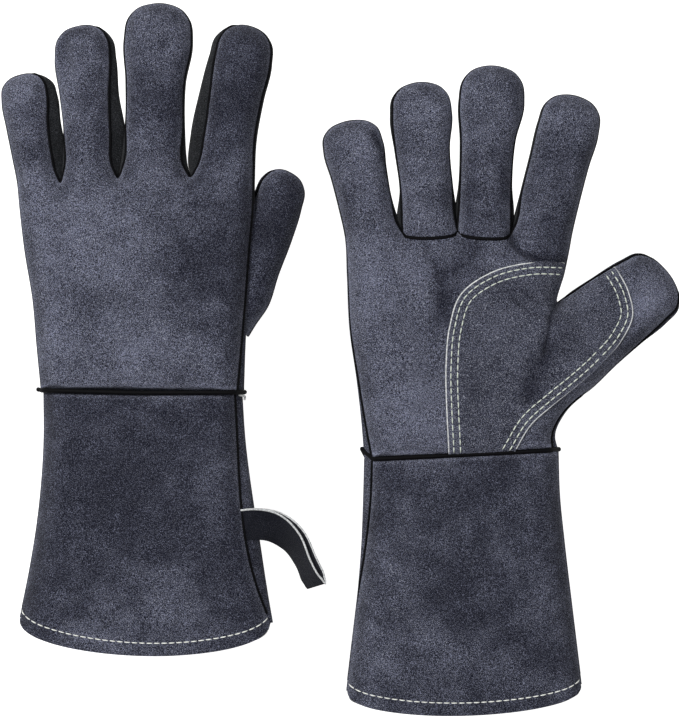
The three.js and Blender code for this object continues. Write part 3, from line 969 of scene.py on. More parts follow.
class Glove:
    """One glove: its outline, its skins, and the pieces made from them."""

    def __init__(self, side: Side, finishes: Finishes) -> None:
        """Place the glove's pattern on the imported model.

        Args:
            side: which glove.
            finishes: the materials.
        """
        self.side, self.cut, self.finishes = side, CUTS[side], finishes
        joints = {j["name"]: j for j in frame["joints"]}
        wrist = joints[f"{side.value}_wrist_bend"]["pos_m"]
        low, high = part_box(f"{side.value}_wrist_welt")
        self.origin = np.array([wrist[0], (low.y + high.y) / 2 - 1.4 * MM])
        self.lift = self.cut.lift * MM
        self.axes = {
            name: DigitAxis(side, name, joints[f"{side.value}_{name}_bend"]["pos_m"])
            for name in (*FINGERS, "thumb")
        }
        self.seed = 3.0 if side.palm_up else 11.0
        self.faces = ("palm", "back") if side.palm_up else ("back", "palm")
        self.digit_faces = ("front", "back") if side.palm_up else ("back", "front")

    # -- places

    def place(self, x: float, y: float) -> np.ndarray:
        """A place on the pattern, from millimetres to the frame."""
        return self.origin + np.array([x, y]) * MM

    def line(self, *points: tuple[float, float]) -> np.ndarray:
        """A smooth flat line through places on the pattern."""
        rows = np.array([self.place(*p) for p in points])
        return smooth_rows(rows, 1.2 * MM)[0]

    def body(self, name: str) -> str:
        """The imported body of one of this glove's parts."""
        return f"{self.side.value}_{name}"

    # -- outlines

    def digit_rows(self, outline: Outline, name: str, first: int = 0) -> None:
        """Go up a digit's little side, round its tip and down its other side.

        Args:
            outline: what the stations are added to.
            name: which digit.
            first: the first station on the way up.
        """
        cut, axis = self.cut.digits[name], self.axes[name]

        def station(sign: int, k: int) -> list[float]:
            """The outline's row at a station, on the side that the sign says."""
            reach, wall = ((cut.left, cut.wall_left), (cut.right, cut.wall_right))[sign > 0]
            along = STATIONS[k] * axis.length
            seam, rim = reach[k] * MM * sign, (reach[k] + wall[k]) * MM * sign
            tall = cut.tall[sign > 0] * MM
            return outline_row(
                axis.at(seam, along), axis.at(rim, along), DIGIT_MIDDLE, tall, 0.25 * wall[k] * MM
            )

        for k in range(first, len(STATIONS)):
            outline.add(name, station(-1, k))
        shoulder = STATIONS[-1] * axis.length
        round_length = axis.length - shoulder
        for turn in CAP_TURNS:
            reach, wall = ((cut.left, cut.wall_left), (cut.right, cut.wall_right))[turn > 0]
            fade = abs(math.sin(turn))
            rim_wall = (0.5 + (wall[-1] - 0.5) * fade) * MM
            out = math.copysign(abs(math.sin(turn)) ** 0.86, turn)
            up = math.cos(turn) ** 0.72
            seam = axis.at(reach[-1] * MM * out, shoulder + (round_length - 0.5 * MM) * up)
            rim = axis.at((reach[-1] * MM + rim_wall) * out, shoulder + round_length * up)
            tall = (cut.tall[turn > 0] * fade + 0.8 * (1 - fade)) * MM
            outline.add(name, outline_row(seam, rim, DIGIT_MIDDLE - 1 * MM * (1 - fade), tall))
        for k in reversed(range(len(STATIONS))):
            outline.add(name, station(1, k))

    def side_row(self, y: float, seam: float, rim: float, middle: float) -> list[float]:
        """One station down a side of the hand or the cuff."""
        wide = abs(rim - seam)
        tall = (0.8 + 0.7 * max(0.0, wide - 0.5)) * MM
        return outline_row(self.place(seam, y), self.place(rim, y), middle, tall, 0.5 * wide * MM)

    def crotch_row(self, x: float, y: float, web: float) -> list[float]:
        """The bottom of the gap between two fingers, where the wall leans out by the web."""
        place = self.place(x, y)
        out = np.array([0, web * MM])
        return [*place, *(place + 0.6 * out), *(place + out), 16.5 * MM, 8.5 * MM]

    def hand_outline(self) -> Outline:
        """Go round the hand and its fingers, from the wrist's little side to its thumb side."""
        outline = Outline()
        middle = HAND_MIDDLE + self.lift
        for y, seam, rim in self.cut.little_side:
            outline.add("hand", self.side_row(y, seam, rim, middle))
        for i, name in enumerate(FINGERS):
            self.digit_rows(outline, name)
            if i < len(self.cut.crotches):
                outline.add("hand", self.crotch_row(*self.cut.crotches[i]))
        if self.side.palm_up:
            for y, seam, rim in self.cut.thumb_side:
                outline.add("hand", self.side_row(y, seam, rim, middle))
            place = self.place(*THUMB_CROTCH)
            outline.add("hand", [*place, *place, *(place - 1.2 * MM), 13.5 * MM, 11 * MM])
            self.digit_rows(outline, "thumb", 1)
            for y, seam, rim in THUMB_HEEL:
                outline.add("hand", self.side_row(y, seam, rim, middle))
        else:
            for y, seam, rim in self.cut.thumb_side:
                outline.add("hand", self.side_row(y, seam, rim, middle))
        outline.draw()
        return outline

    def cuff_outline(self) -> tuple[Outline, Outline]:
        """The cuff's two sides, each from the hem up to the wrist or from the wrist down to the hem."""
        made = []
        for side in (self.cut.cuff_little_side[::-1], self.cut.cuff_thumb_side):
            outline = Outline()
            for y, seam, rim in side:
                outline.add("cuff", self.side_row(y, seam, rim, (14 + 0.006 * abs(y)) * MM))
            outline.draw()
            made.append(outline)
        return made[0], made[1]

    # -- skins

    def crown(self, places: np.ndarray) -> np.ndarray:
        """How high the upper panel's middle stands, at (n, 2) places."""
        local = places - self.origin
        y = local[:, 1]
        fingers = smoothstep(*KNUCKLES, y)
        thumb_across, thumb_along = self.axes["thumb"].local(places)
        if self.side.palm_up:
            on_thumb = smoothstep(8 * MM, 34 * MM, thumb_along)
            on_thumb = on_thumb * smoothstep(-34 * MM, -24 * MM, thumb_across)
            fingers = np.maximum(fingers, on_thumb)
        height = (HAND_CROWN + self.lift) * (1 - fingers) + DIGIT_CROWN * fingers
        for name, axis in self.axes.items():
            if name == "thumb" and not self.side.palm_up:
                continue
            across, along = axis.local(places)
            near = np.abs(across) < 26 * MM
            height -= near * 3.2 * MM * smoothstep(0.72, 1.02, along / axis.length)
        rise = y - self.wrist_height(local[:, 0])
        wrist = np.exp(-((rise / (8 * MM)) ** 2))
        height -= 2.2 * MM * wrist + GROOVE * np.exp(-((rise / (1.3 * MM)) ** 2))
        for crease, depth, width in self.creases():
            height -= depth * bump_along(crease, places, width)
        return height + undulate(places, self.seed) * (1 - 0.7 * wrist)

    def creases(self) -> list[tuple[np.ndarray, float, float]]:
        """The folds pressed into the upper panel: a line, a depth and a width for each."""
        if not self.side.palm_up:
            return []
        folds = (
            (1.6, 2.2, (24.2, 119), (27, 112), (34.5, 107), (45, 105), (53, 104.6)),
            (2.2, 2.2, THUMB_CROTCH, (46.4, 77), (44, 66), (42, 55)),
            (0.9, 5.0, (42, 55), (36, 40), (33, 30)),
            (0.6, 1.2, (24, 85), (33, 77.5), (45, 74)),
            (0.5, 1.2, (27, 91), (37, 83), (48, 80)),
            (1.5, 1.7, (-50, 173), (-45, 163.5), (-42, 151.5)),
            (0.8, 3.5, (-22, 112), (-14, 96), (-13, 80)),
            (0.7, 3.0, (6, 113), (0, 104), (-16, 98)),
        )
        return [(self.line(*places), depth * MM, width * MM) for depth, width, *places in folds]

    def crease_shade(self, places: np.ndarray) -> np.ndarray:
        """The painted shade in the folds: how much darker the hide is drawn there, at (n, 2) places."""
        shade = np.zeros(len(places))
        for crease, depth, width in self.creases():
            shade += min(depth / MM, 1.5) * CREASE_SHADE * bump_along(crease, places, width)
        return shade

    def floor_crown(self, places: np.ndarray) -> np.ndarray:
        """How low the lower panel's middle hangs, at (n, 2) places."""
        local = places - self.origin
        fingers = smoothstep(86 * MM, 118 * MM, local[:, 1])
        height = self.lift * (1 - fingers)
        for axis in self.axes.values():
            across, along = axis.local(places)
            near = np.abs(across) < 26 * MM
            height += near * 2.0 * MM * smoothstep(0.75, 1.02, along / axis.length)
        wrist = np.exp(-(((local[:, 1] - self.wrist_height(local[:, 0])) / (6 * MM)) ** 2))
        return height + 1.5 * MM * wrist + 0.15 * MM

    def wrist_height(self, x: np.ndarray) -> np.ndarray:
        """How far up the wrist seam is, x across from the glove's middle."""
        return np.interp(x, np.array([-52, 0, 52]) * MM, np.array(self.cut.wrist) * MM)

    def roll(self, places: np.ndarray) -> np.ndarray:
        """How wide the upper panel's rounded edge is, at (n, 2) places."""
        y = places[:, 1] - self.origin[1]
        return (16 - 5 * smoothstep(90 * MM, 124 * MM, y)) * MM

    def cuff_crown(self, places: np.ndarray) -> np.ndarray:
        """How high the cuff's upper panel stands, at (n, 2) places."""
        local = places - self.origin
        fall = local[:, 1] - self.wrist_height(local[:, 0])
        wrist = np.exp(-((fall / (9 * MM)) ** 2))
        lips = 0.6 * MM * np.exp(-(((fall + 5 * MM) / (3 * MM)) ** 2))
        lips -= GROOVE * np.exp(-((fall / (1.3 * MM)) ** 2))
        return CUFF_CROWN - 3.6 * MM * wrist + lips + undulate(places, self.seed + 30) * (1 - 0.7 * wrist)

    def cuff_floor(self, places: np.ndarray) -> np.ndarray:
        """How low the cuff's lower panel hangs, at (n, 2) places."""
        local = places - self.origin
        wrist = np.exp(-(((local[:, 1] - self.wrist_height(local[:, 0])) / (6 * MM)) ** 2))
        return (1.5 * wrist + 0.15) * MM

    def surface(self, places: np.ndarray, triangles: np.ndarray, skin: Skin, upper: bool) -> Surface:
        """Raise a flat filled outline to its skin.

        Args:
            places: (n, 2) points.
            triangles: anticlockwise from above.
            skin: the face that they lie on.
            upper: whether it faces up.

        Returns:
            The skin, lighter in a thin rim along its seams, with painted shade a little further in where the
            edge rolls down.
        """
        points = skin.lay(places, 0.0)
        if not upper:
            triangles = triangles[:, ::-1]
        distance, _ = skin.edge(places)
        tone = 0.20 * np.exp(-((distance / (1.1 * MM)) ** 2))
        # Painted shade a few millimetres in from the seam, where the edge rolls down.
        tone -= 0.10 * np.exp(-(((distance - 4 * MM) / (3 * MM)) ** 2))
        if upper:
            tone -= self.crease_shade(places)
        return Surface(points, triangles, vertex_normals(points, triangles), tone + self.shade(places))

    def shade(self, places: np.ndarray) -> np.ndarray:
        """How much lighter or darker the hide is drawn at (n, 2) places: broad patches that are partly its
        own tone and partly painted shade, darker over the cuff, and a painted highlight on the lips either
        side of the wrist seam.
        """
        local = (places - self.origin) / MM
        tone = np.zeros(len(places))
        # Broad patches: partly the hide's own uneven tone, partly painted shade, as over the left glove's
        # tucked thumb.
        for x, y, reach, amount in self.cut.tones:
            tone += amount * np.exp(-((np.hypot(local[:, 0] - x, local[:, 1] - y) / reach) ** 2))
        rise = local[:, 1] - self.wrist_height(places[:, 0] - self.origin[0]) / MM
        cuff = smoothstep(1.0, -1.0, rise)
        tone -= cuff * (0.22 - 0.04 * smoothstep(-15, -45, rise) - 0.10 * smoothstep(-70, -118, rise))
        # Painted highlight along the folded lips either side of the wrist seam, half as strong on the cuff's
        # side.
        return tone + 0.5 * np.exp(-(((np.abs(rise) - 2.2) / 0.8) ** 2)) * (1 - 0.5 * cuff)

    # -- sewing

    def finger_splits(
        self, outline: Outline, edge: np.ndarray, upper: bool
    ) -> tuple[list[np.ndarray], np.ndarray]:
        """The line between the hand and its fingers' panels.

        Args:
            outline: the hand's outline.
            edge: the panel's own edge, sample by sample.
            upper: whether it is the upper panel.

        Returns:
            The splits between the crotches, and the whole line from side to side.
        """
        crotch_rows = [i for i in range(len(outline.owners)) if self.is_crotch(outline, i)]
        corners = [int(np.flatnonzero(outline.span == i)[0]) for i in crotch_rows]
        first = int(np.flatnonzero(outline.owner == "little")[0])
        last = int(np.flatnonzero(outline.owner == "index")[-1]) + 1
        stops = [first, *corners, last]
        splits = []
        for a, b in zip(stops[:-1], stops[1:], strict=True):
            ends = np.array([edge[a, :2], edge[b, :2]])
            count = max(4, int(np.linalg.norm(ends[1] - ends[0]) / (1.5 * MM)))
            t = np.linspace(0, 1, count)[:, None]
            dip = 0.0
            if self.side.palm_up and upper and a in corners[:2]:
                dip = 3.4 * MM
            sag = np.array([0.0, -1.0]) * dip * (4 * t * (1 - t)) ** 0.35
            splits.append(ends[0] * (1 - t) + ends[1] * t + sag)
        return splits, np.vstack(splits)

    def is_crotch(self, outline: Outline, row: int) -> bool:
        """Whether a row of an outline is the bottom of the gap between two fingers."""
        before = outline.owners[max(0, row - 1)]
        after = outline.owners[min(row + 1, len(outline.owners) - 1)]
        return outline.owners[row] == "hand" and before in FINGERS and after in FINGERS

    def owners(self, centres: np.ndarray, line: np.ndarray) -> np.ndarray:
        """Which part each triangle of a hand's panel belongs to.

        Args:
            centres: (n, 2) middles of the triangles.
            line: the line between the hand and its fingers.

        Returns:
            A name for each.
        """
        order = np.argsort(line[:, 0])
        above = centres[:, 1] > np.interp(centres[:, 0], line[order, 0], line[order, 1])
        across = np.array([np.abs(self.axes[name].local(centres)[0]) for name in FINGERS])
        nearest = np.array(FINGERS)[across.argmin(0)]
        along = np.array([self.axes[name].local(centres)[1] for name in FINGERS])
        owner = np.where(above & (along.max(0) > -8 * MM), nearest, "hand")
        if self.side.palm_up:
            u, v = self.axes["thumb"].local(centres)
            gate_u, gate_v = self.thumb_gate()
            past_gate = (v > gate_v) & (u > gate_u - 0.3 * MM) & (centres[:, 0] > line[:, 0].min())
            owner = np.where(past_gate, "thumb", owner)
        return owner

    def thumb_gate(self) -> tuple[float, float]:
        """Where the thumb's skin starts, across and along its axis, at the thumb's crotch."""
        u, v = self.axes["thumb"].local(self.place(*THUMB_CROTCH)[None, :])
        return float(u[0]), float(v[0])

    def attach(self, piece: bpy.types.Object, owner: str) -> bpy.types.Object:
        """Attach a hand piece to the hand's body, and bake any other piece's placement into its mesh.

        Args:
            piece: the finished piece.
            owner: hand, cuff or a digit.

        Returns:
            The piece.
        """
        if owner == "hand":
            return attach(piece, self.body("hand"))
        if owner == "cuff":
            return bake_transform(piece)
        axis = self.axes[owner]
        start = self.thumb_gate()[1] if owner == "thumb" and self.side.palm_up else 5 * MM
        if owner == "thumb" and not self.side.palm_up:
            start = -6 * MM
        a, b = axis.at(0, start), axis.at(0, start + FOLD_REACH)
        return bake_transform(piece)

    # -- pieces

    def name(self, part: str) -> str:
        """A piece's name, with the glove's side."""
        return f"{self.side.value}_{part}"

    def join(self, name: str, pieces: list[bpy.types.Object]) -> bpy.types.Object:
        """Join pieces of one finish into one object.

        Args:
            name: the joined piece's name.
            pieces: what is joined.

        Returns:
            The joined object.
        """
        bpy.ops.object.select_all(action="DESELECT")
        for piece in pieces:
            piece.select_set(True)
        bpy.context.view_layer.objects.active = pieces[0]
        if len(pieces) > 1:
            bpy.ops.object.join()
        pieces[0].name = name
        pieces[0].data.name = name
        bpy.ops.object.select_all(action="DESELECT")
        return pieces[0]

    def finish_piece(
        self, piece: bpy.types.Object, owner: str, finish: str, slot: str, *nodes: str
    ) -> bpy.types.Object:
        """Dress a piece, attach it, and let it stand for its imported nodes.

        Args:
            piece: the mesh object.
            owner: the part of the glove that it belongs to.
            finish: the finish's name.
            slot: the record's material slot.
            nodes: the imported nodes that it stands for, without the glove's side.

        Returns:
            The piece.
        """
        self.finishes.dress(piece, finish, slot)
        self.attach(piece, owner)
        if nodes:
            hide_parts(*(self.name(n) for n in nodes))
        log.info("%s: %d faces", piece.name, len(piece.data.polygons))
        return piece

    def build(self) -> None:
        """Make the whole glove."""
        self.build_hand()
        if not self.side.palm_up:
            self.build_tucked_thumb()
        self.build_wrist_welt()
        self.build_cuff()
        self.build_patch()

    def build_hand(self) -> None:
        """Make the hand's and fingers' panels, side walls, linings and piping."""
        outline = self.hand_outline()
        self.outline = outline
        self.upper_skin = Skin([outline.upper], self.crown, self.roll)
        self.lower_skin = Skin([outline.lower], self.floor_crown, lambda p: np.full(len(p), 8.5 * MM))
        panels = {}
        faces = (("upper", self.upper_skin, outline.upper), ("lower", self.lower_skin, outline.lower))
        for key, skin, edge in faces:
            splits, line = self.finger_splits(outline, edge, key == "upper")
            lines = list(splits)
            if self.side.palm_up:
                lines.append(self.thumb_split(outline, edge))
            if key == "upper" and self.side.palm_up:
                self.base_seam = line
            folds = [line for line, _, _ in self.creases()] if key == "upper" else []
            places, triangles = fill(edge[:, :2], lines, folds)
            surface = self.surface(places, triangles, skin, key == "upper")
            owner = self.owners(places[triangles].mean(1), line)
            panels[key] = (surface, owner)
        parts = ["hand", *FINGERS] + (["thumb"] if self.side.palm_up else [])
        for part in parts:
            self.build_part(part, outline, panels)
        if self.side.palm_up:
            self.build_base_seam()

    def thumb_split(self, outline: Outline, edge: np.ndarray) -> np.ndarray:
        """The line across the thumb's root, from its crotch square to its axis."""
        axis = self.axes["thumb"]
        across, along = axis.local(edge[:, :2])
        gate_u, gate_v = self.thumb_gate()
        start = int(np.argmin(np.hypot(across - gate_u, along - gate_v)))
        beyond = np.arange(len(across)) > start
        far = np.flatnonzero((across > 15 * MM) & (outline.owner != "index") & beyond)
        end = int(far[np.argmin(np.abs(along[far] - gate_v))])
        a, b = edge[start, :2], edge[end, :2]
        t = np.linspace(0, 1, 30)[:, None]
        return a * (1 - t) + b * t

    def build_part(self, part: str, outline: Outline, panels: dict) -> None:
        """Make one part's panels, side wall, lining and piping.

        Args:
            part: hand or a digit.
            outline: the hand's outline.
            panels: the whole upper and lower skins, with the owner of each triangle.
        """
        digit = part != "hand"
        names = self.digit_faces if digit else self.faces
        skins = {key: surface.part(owner == part) for key, (surface, owner) in panels.items()}
        runs = [run for run in outline.stretches(part) if run.stop - run.start > 2]
        webs = [run for run in runs if not digit and outline.upper[run, 1].min() > self.place(0, 108)[1]]
        walls = [outline.wall(run) for run in runs if run not in webs]
        for key, face in zip(("upper", "lower"), names, strict=True):
            pieces = [skins[key].shell(self.name(f"{part}_{face}"), 0.0, LEATHER)]
            if key == "lower" and (not digit or part == "thumb"):
                pieces += [w.shell("side", 0.0, LEATHER) for w in walls]
            piece = self.join(self.name(f"{part}_{face}_leather"), pieces)
            self.finish_piece(piece, part, "suede", "suede", f"{part}_{face}")
        # Side walls and webs take the darker suede, which paints the shade they stand in.
        if digit and part != "thumb":
            piece = self.join(self.name(f"{part}_side_wall"), [w.shell("wall", 0.0, LEATHER) for w in walls])
            self.finish_piece(piece, part, "wall_suede", "wall_suede", f"{part}_sidewall")
        if webs:
            shells = [outline.wall(run).shell("web", 0.0, LEATHER) for run in webs]
            piece = self.join(self.name("hand_webs"), shells)
            self.finish_piece(piece, "hand", "wall_suede", "wall_suede")
        linings = [s.shell("lining", LINING_START, LINING_START + LINING) for s in skins.values()]
        piece = self.join(self.name(f"{part}_fleece"), linings)
        self.finish_piece(piece, part, "fleece", "fleece", f"{part}_lining")
        welts = []
        for run in outline.stretches(part):
            if run.stop - run.start < 3:
                continue
            welts.append(outline.welt(run))
            welts.append(tube_piece("welt", outline.lower[run], LOWER_WELT, around=6))
        piece = self.join(self.name(f"{part}_piping"), welts)
        self.finish_piece(piece, part, "piping", "piping")

    def build_base_seam(self) -> None:
        """Lay the piping where the middle and ring fingers' fronts are sewn to the palm."""
        line = self.base_seam
        across = line[:, 0] - self.origin[0]
        ends = [self.cut.crotches[k][0] * MM for k in (0, 2)]
        between = (across >= ends[0] - 0.5 * MM) & (across <= ends[1] + 0.5 * MM)
        path = self.upper_skin.lay(line[between][::2], -0.3 * MM)
        piece = tube_piece(self.name("base_seam_piping"), path, 1.1 * MM)
        self.finish_piece(piece, "hand", "piping", "piping")

    def build_tucked_thumb(self) -> None:
        """Make the left glove's thumb, which lies half under the hand's edge."""
        axis = self.axes["thumb"]
        middle = 8.0 * MM
        outline = Outline()
        for along, seam in ((-13, 9.4), (-6, 11)):
            row = axis.at(seam * MM, along * MM)
            outline.add("thumb", outline_row(row, axis.at((seam + 0.5) * MM, along * MM), middle, 0.8 * MM))
        rows = Outline()
        self.digit_rows(rows, "thumb")
        for row in reversed(rows.rows):
            outline.add("thumb", [*row[:6], middle + 0.8 * MM, middle - 0.8 * MM])
        seam, rim = axis.at(-13 * MM, -6 * MM), axis.at(-13.5 * MM, -6 * MM)
        outline.add("thumb", outline_row(seam, rim, middle, 0.8 * MM))
        outline.rows.reverse()
        outline.draw()

        def roll(places: np.ndarray) -> np.ndarray:
            """How far in from the seam the leather rolls up."""
            return np.full(len(places), 11 * MM)

        def crown(places: np.ndarray) -> np.ndarray:
            """How high the thumb's back stands."""
            along = axis.local(places)[1] / axis.length
            return 16.2 * MM - 2.5 * MM * smoothstep(0.7, 1.0, along) + 0.5 * undulate(places, 5.0)

        upper = Skin([outline.upper], crown, roll)
        lower = Skin([outline.lower], lambda p: np.full(len(p), 0.2 * MM), roll)
        whole = slice(0, len(outline.upper))
        skins = []
        for skin, edge, face in ((upper, outline.upper, "back"), (lower, outline.lower, "front")):
            places, triangles = fill(edge[:, :2])
            skins.append(self.surface(places, triangles, skin, face == "back"))
            pieces = [skins[-1].shell("panel", 0.0, LEATHER)]
            if face == "front":
                pieces.append(outline.wall(whole).shell("side", 0.0, LEATHER))
            piece = self.join(self.name(f"thumb_{face}_leather"), pieces)
            self.finish_piece(piece, "thumb", "suede", "suede", f"thumb_{face}")
        linings = [s.shell("lining", LINING_START, LINING_START + LINING) for s in skins]
        piece = self.join(self.name("thumb_fleece"), linings)
        self.finish_piece(piece, "thumb", "fleece", "fleece", "thumb_lining")
        welts = [outline.welt(whole), tube_piece("welt", outline.lower, LOWER_WELT, around=6)]
        self.finish_piece(self.join(self.name("thumb_piping"), welts), "thumb", "piping", "piping")

    def build_wrist_welt(self) -> None:
        """Run the thick piping round the wrist seam."""
        outline = self.outline
        left, right = outline.upper[0], outline.upper[-1]
        x = np.linspace(left[0], right[0], 90)
        y = self.origin[1] + self.wrist_height(x - self.origin[0])
        top = self.upper_skin.lay(np.column_stack([x, y]), GROOVE - 0.9 * MM)
        ends = []
        for end, sign in ((0, -1), (-1, 1)):
            upper, rim, lower = outline.upper[end], outline.rim[end], outline.lower[end]
            outside = [sign * (1.3 if sign < 0 else 0.5) * MM, 0, 0]
            ends.append(np.array([lower, rim + outside, upper + [0, 0, 0.4 * MM]]))
        x_low = np.linspace(right[0], left[0], 60)[2:-2]
        y_low = self.origin[1] + self.wrist_height(x_low - self.origin[0])
        bottom = np.column_stack([x_low, y_low, np.zeros(len(x_low))])
        bottom[:, 2] = self.lower_skin.height(bottom[:, :2]) + 0.9 * MM
        for piece in ends:
            piece[:, 1] = self.origin[1] + self.wrist_height(piece[:, 0] - self.origin[0])
        ends[0][1, 1] += self.cut.welt_rise * MM
        ring = np.vstack([top[1:-1], ends[1][::-1], bottom, ends[0]])
        welt = tube_piece(self.name("wrist_piping"), ring, WRIST_WELT, closed=True, around=10)
        self.finish_piece(welt, "hand", "piping", "piping", "wrist_welt")
        if not self.side.palm_up:
            rim = outline.rim[-1]
            course = [[-2.6, -1.6, 1.6], [-0.8, -1.9, 0.8], [0.5, -2.6, -1.0], [0.3, -4.2, -2.0]]
            scrap = rim + np.array(course) * MM
            scrap = smooth_rows(np.column_stack([scrap, np.zeros(len(scrap))]), 0.5 * MM)[0][:, :3]
            piece = tube_piece(self.name("wrist_seam_end"), scrap, 0.7 * MM, around=7)
            self.finish_piece(piece, "hand", "raw_edge", "suede")

    # -- cuff

    def hem_line(self, a: np.ndarray, b: np.ndarray, rise: float = 0.0, fullness: float = 0.5) -> np.ndarray:
        """An arc across the cuff's mouth.

        Args:
            a: its start.
            b: its end.
            rise: how far up the cuff from the hem its middle is.
            fullness: the lower, the squarer its corners.

        Returns:
            (n, 2) places, close together at the corners.
        """
        middle = self.place(*self.cut.hem_middle)
        sag = (a[1] + b[1]) / 2 - middle[1] - rise
        t = (1 - np.cos(np.linspace(0, math.pi, 130))) / 2
        arc = a * (1 - t)[:, None] + b * t[:, None]
        arc[:, 1] -= sag * (4 * t * (1 - t)) ** fullness
        return arc

    def build_cuff(self) -> None:
        """Make the cuff's panels, seams, lining and hem stitches."""
        little, thumb = self.cuff_outline()
        skins = {
            "upper": Skin([little.upper, thumb.upper], self.cuff_crown, lambda p: np.full(len(p), 17 * MM)),
            "lower": Skin([little.lower, thumb.lower], self.cuff_floor, lambda p: np.full(len(p), 12 * MM)),
        }
        near = LEATHER + 0.3 * MM
        linings, walls = [], [outline.wall(slice(None)) for outline in (little, thumb)]
        for (key, skin), face in zip(skins.items(), self.faces, strict=True):
            left, right = (getattr(o, key) for o in (little, thumb))
            hem = self.hem_line(right[-1, :2], left[0, :2])[1:-1]
            x = np.linspace(left[-1, 0], right[0, 0], 80)[1:-1]
            wrist = np.column_stack([x, self.origin[1] + self.wrist_height(x - self.origin[0])])
            places, triangles = fill(np.vstack([left[:, :2], wrist, right[:, :2], hem]))
            surface = self.surface(places, triangles, skin, key == "upper")
            pieces = [surface.shell("panel", 0.0, LEATHER)]
            if key == "lower":
                pieces += [w.shell("side", 0.0, LEATHER) for w in walls]
            piece = self.join(self.name(f"cuff_{face}_leather"), pieces)
            self.finish_piece(piece, "cuff", "suede", "suede", f"cuff_{face}")
            linings.append(surface.shell("lining", near, near + LINING))
            corners = left[0, :2] + [0.8 * MM, 4.4 * MM], right[-1, :2] + [-0.8 * MM, 3.6 * MM]
            stitch_line = self.hem_line(*corners, 7.0 * MM, 0.66)
            seam = stitches(self.name(f"hem_stitch_{face}"), skin, stitch_line, 1 if key == "upper" else -1)
            self.finish_piece(seam, "cuff", "thread", "suede")
        linings += [w.shell("lining", near, near + LINING) for w in walls]
        piece = self.join(self.name("cuff_canvas"), linings)
        self.finish_piece(piece, "cuff", "canvas", "canvas", "cuff_lining")
        for outline, side, whole in (
            (little, "little_side", slice(5, len(little.upper) - 1)),
            (thumb, "thumb_side", slice(1, len(thumb.upper) - 5)),
        ):
            welts = [outline.welt(whole), tube_piece("welt", outline.lower[whole], LOWER_WELT, around=6)]
            piece = self.join(self.name(f"cuff_piping_{side}"), welts)
            self.finish_piece(piece, "cuff", "piping", "piping", f"cuff_welt_{side}")
        self.cuff_skin, self.cuff_sides = skins["upper"], (little, thumb)

    # -- patch

    def build_patch(self) -> None:
        """Sew the patch over the thumb's side of the palm, with two rows of thread round its edge."""
        palm_up = self.side.palm_up
        skin = self.upper_skin if palm_up else self.lower_skin
        edge = (self.outline.upper if palm_up else self.outline.lower)[:, :2]
        side = self.line(*PATCH_SIDE)
        top = int(np.argmin(np.linalg.norm(edge - side[-1], axis=1)))
        if palm_up:
            cross = self.line(*PATCH_CROSS)
            bottom = int(np.argmin(np.linalg.norm(edge - cross[0], axis=1)))
            follow = edge[top : bottom + 1]
        else:
            cross = self.line(*LOWER_PATCH_CROSS)
            bottom = int(np.argmin(np.linalg.norm(edge - self.place(57, 32), axis=1)))
            follow = edge[top : bottom + 1]
        ahead = unit(np.gradient(follow, axis=0))
        follow = follow + np.column_stack([ahead[:, 1], -ahead[:, 0]]) * 1.3 * MM
        border = np.vstack([side[:-1], follow[2:-2:2], cross[1:]])
        splits = []
        if palm_up:
            splits = [self.patch_gate(border)]
        places, triangles = fill(border, splits, [line for line, _, _ in self.creases()] if palm_up else [])
        points = skin.lay(places, 0.0)
        if not palm_up:
            triangles = triangles[:, ::-1]
        normals = vertex_normals(points, triangles)
        raw = np.vstack([side, cross])[::2]
        distance = np.min(np.linalg.norm(places[:, None] - raw[None, :], axis=2), axis=1)
        tone = 0.26 * np.exp(-((distance / (0.9 * MM)) ** 2)) + 0.12 * smoothstep(7 * MM, 5 * MM, distance)
        if palm_up:
            tone -= self.crease_shade(places)
        whole = Surface(points, triangles, normals, tone)
        centres = places[triangles].mean(1)
        u, v = self.axes["thumb"].local(centres)
        gate_u, gate_v = self.thumb_gate()
        on_thumb = (v > gate_v) & (u > gate_u - 2 * MM) if palm_up else np.zeros(len(centres), bool)
        thread_sets = []
        for inset in PATCH_THREADS:
            for line in (side, cross):
                longer = np.vstack([2 * line[0] - line[6:0:-1], line, 2 * line[-1] - line[-2:-8:-1]])
                ahead = unit(np.gradient(longer, axis=0))
                row = longer + np.column_stack([ahead[:, 1], -ahead[:, 0]]) * inset
                thread_sets.append(row[inside(edge, row)])
        sign = 1 if palm_up else -1
        for owner, keep in (("hand", ~on_thumb), ("thumb", on_thumb)):
            if not keep.any():
                continue
            body = whole.part(keep).shell(self.name(f"{owner}_patch"), -1.2 * MM, -0.1 * MM)
            nodes = ("palm_patch",) if owner == "hand" else ()
            self.finish_piece(body, owner, "patch_suede", "patch_suede", *nodes)
            rows = []
            for row in thread_sets:
                across, along = self.axes["thumb"].local(row)
                there = (along > gate_v) & (across > gate_u) if palm_up else np.zeros(len(row), bool)
                chosen = row[there if owner == "thumb" else ~there]
                if len(chosen) > 6:
                    rows.append(stitches("thread", skin, chosen, sign, 1.25 * MM))
            piece = self.join(self.name(f"{owner}_patch_stitch"), rows)
            self.finish_piece(piece, owner, "patch_thread", "patch_suede")
            edges = [
                tube_piece("cut", skin.lay(chosen, sign * 0.95 * MM), 0.42 * MM, around=6)
                for chosen in self.raw_edges(side, cross, owner, palm_up)
            ]
            piece = self.join(self.name(f"{owner}_patch_raw_edge"), edges)
            self.finish_piece(piece, owner, "raw_edge", "patch_suede")

    def raw_edges(self, side: np.ndarray, cross: np.ndarray, owner: str, palm_up: bool) -> list[np.ndarray]:
        """The patch's cut edges that lie on one part of the glove."""
        found = []
        gate_u, gate_v = self.thumb_gate()
        for line in (side, cross):
            across, along = self.axes["thumb"].local(line)
            there = (along > gate_v) & (across > gate_u) if palm_up else np.zeros(len(line), bool)
            chosen = line[there if owner == "thumb" else ~there]
            if len(chosen) > 6:
                found.append(chosen)
        return found

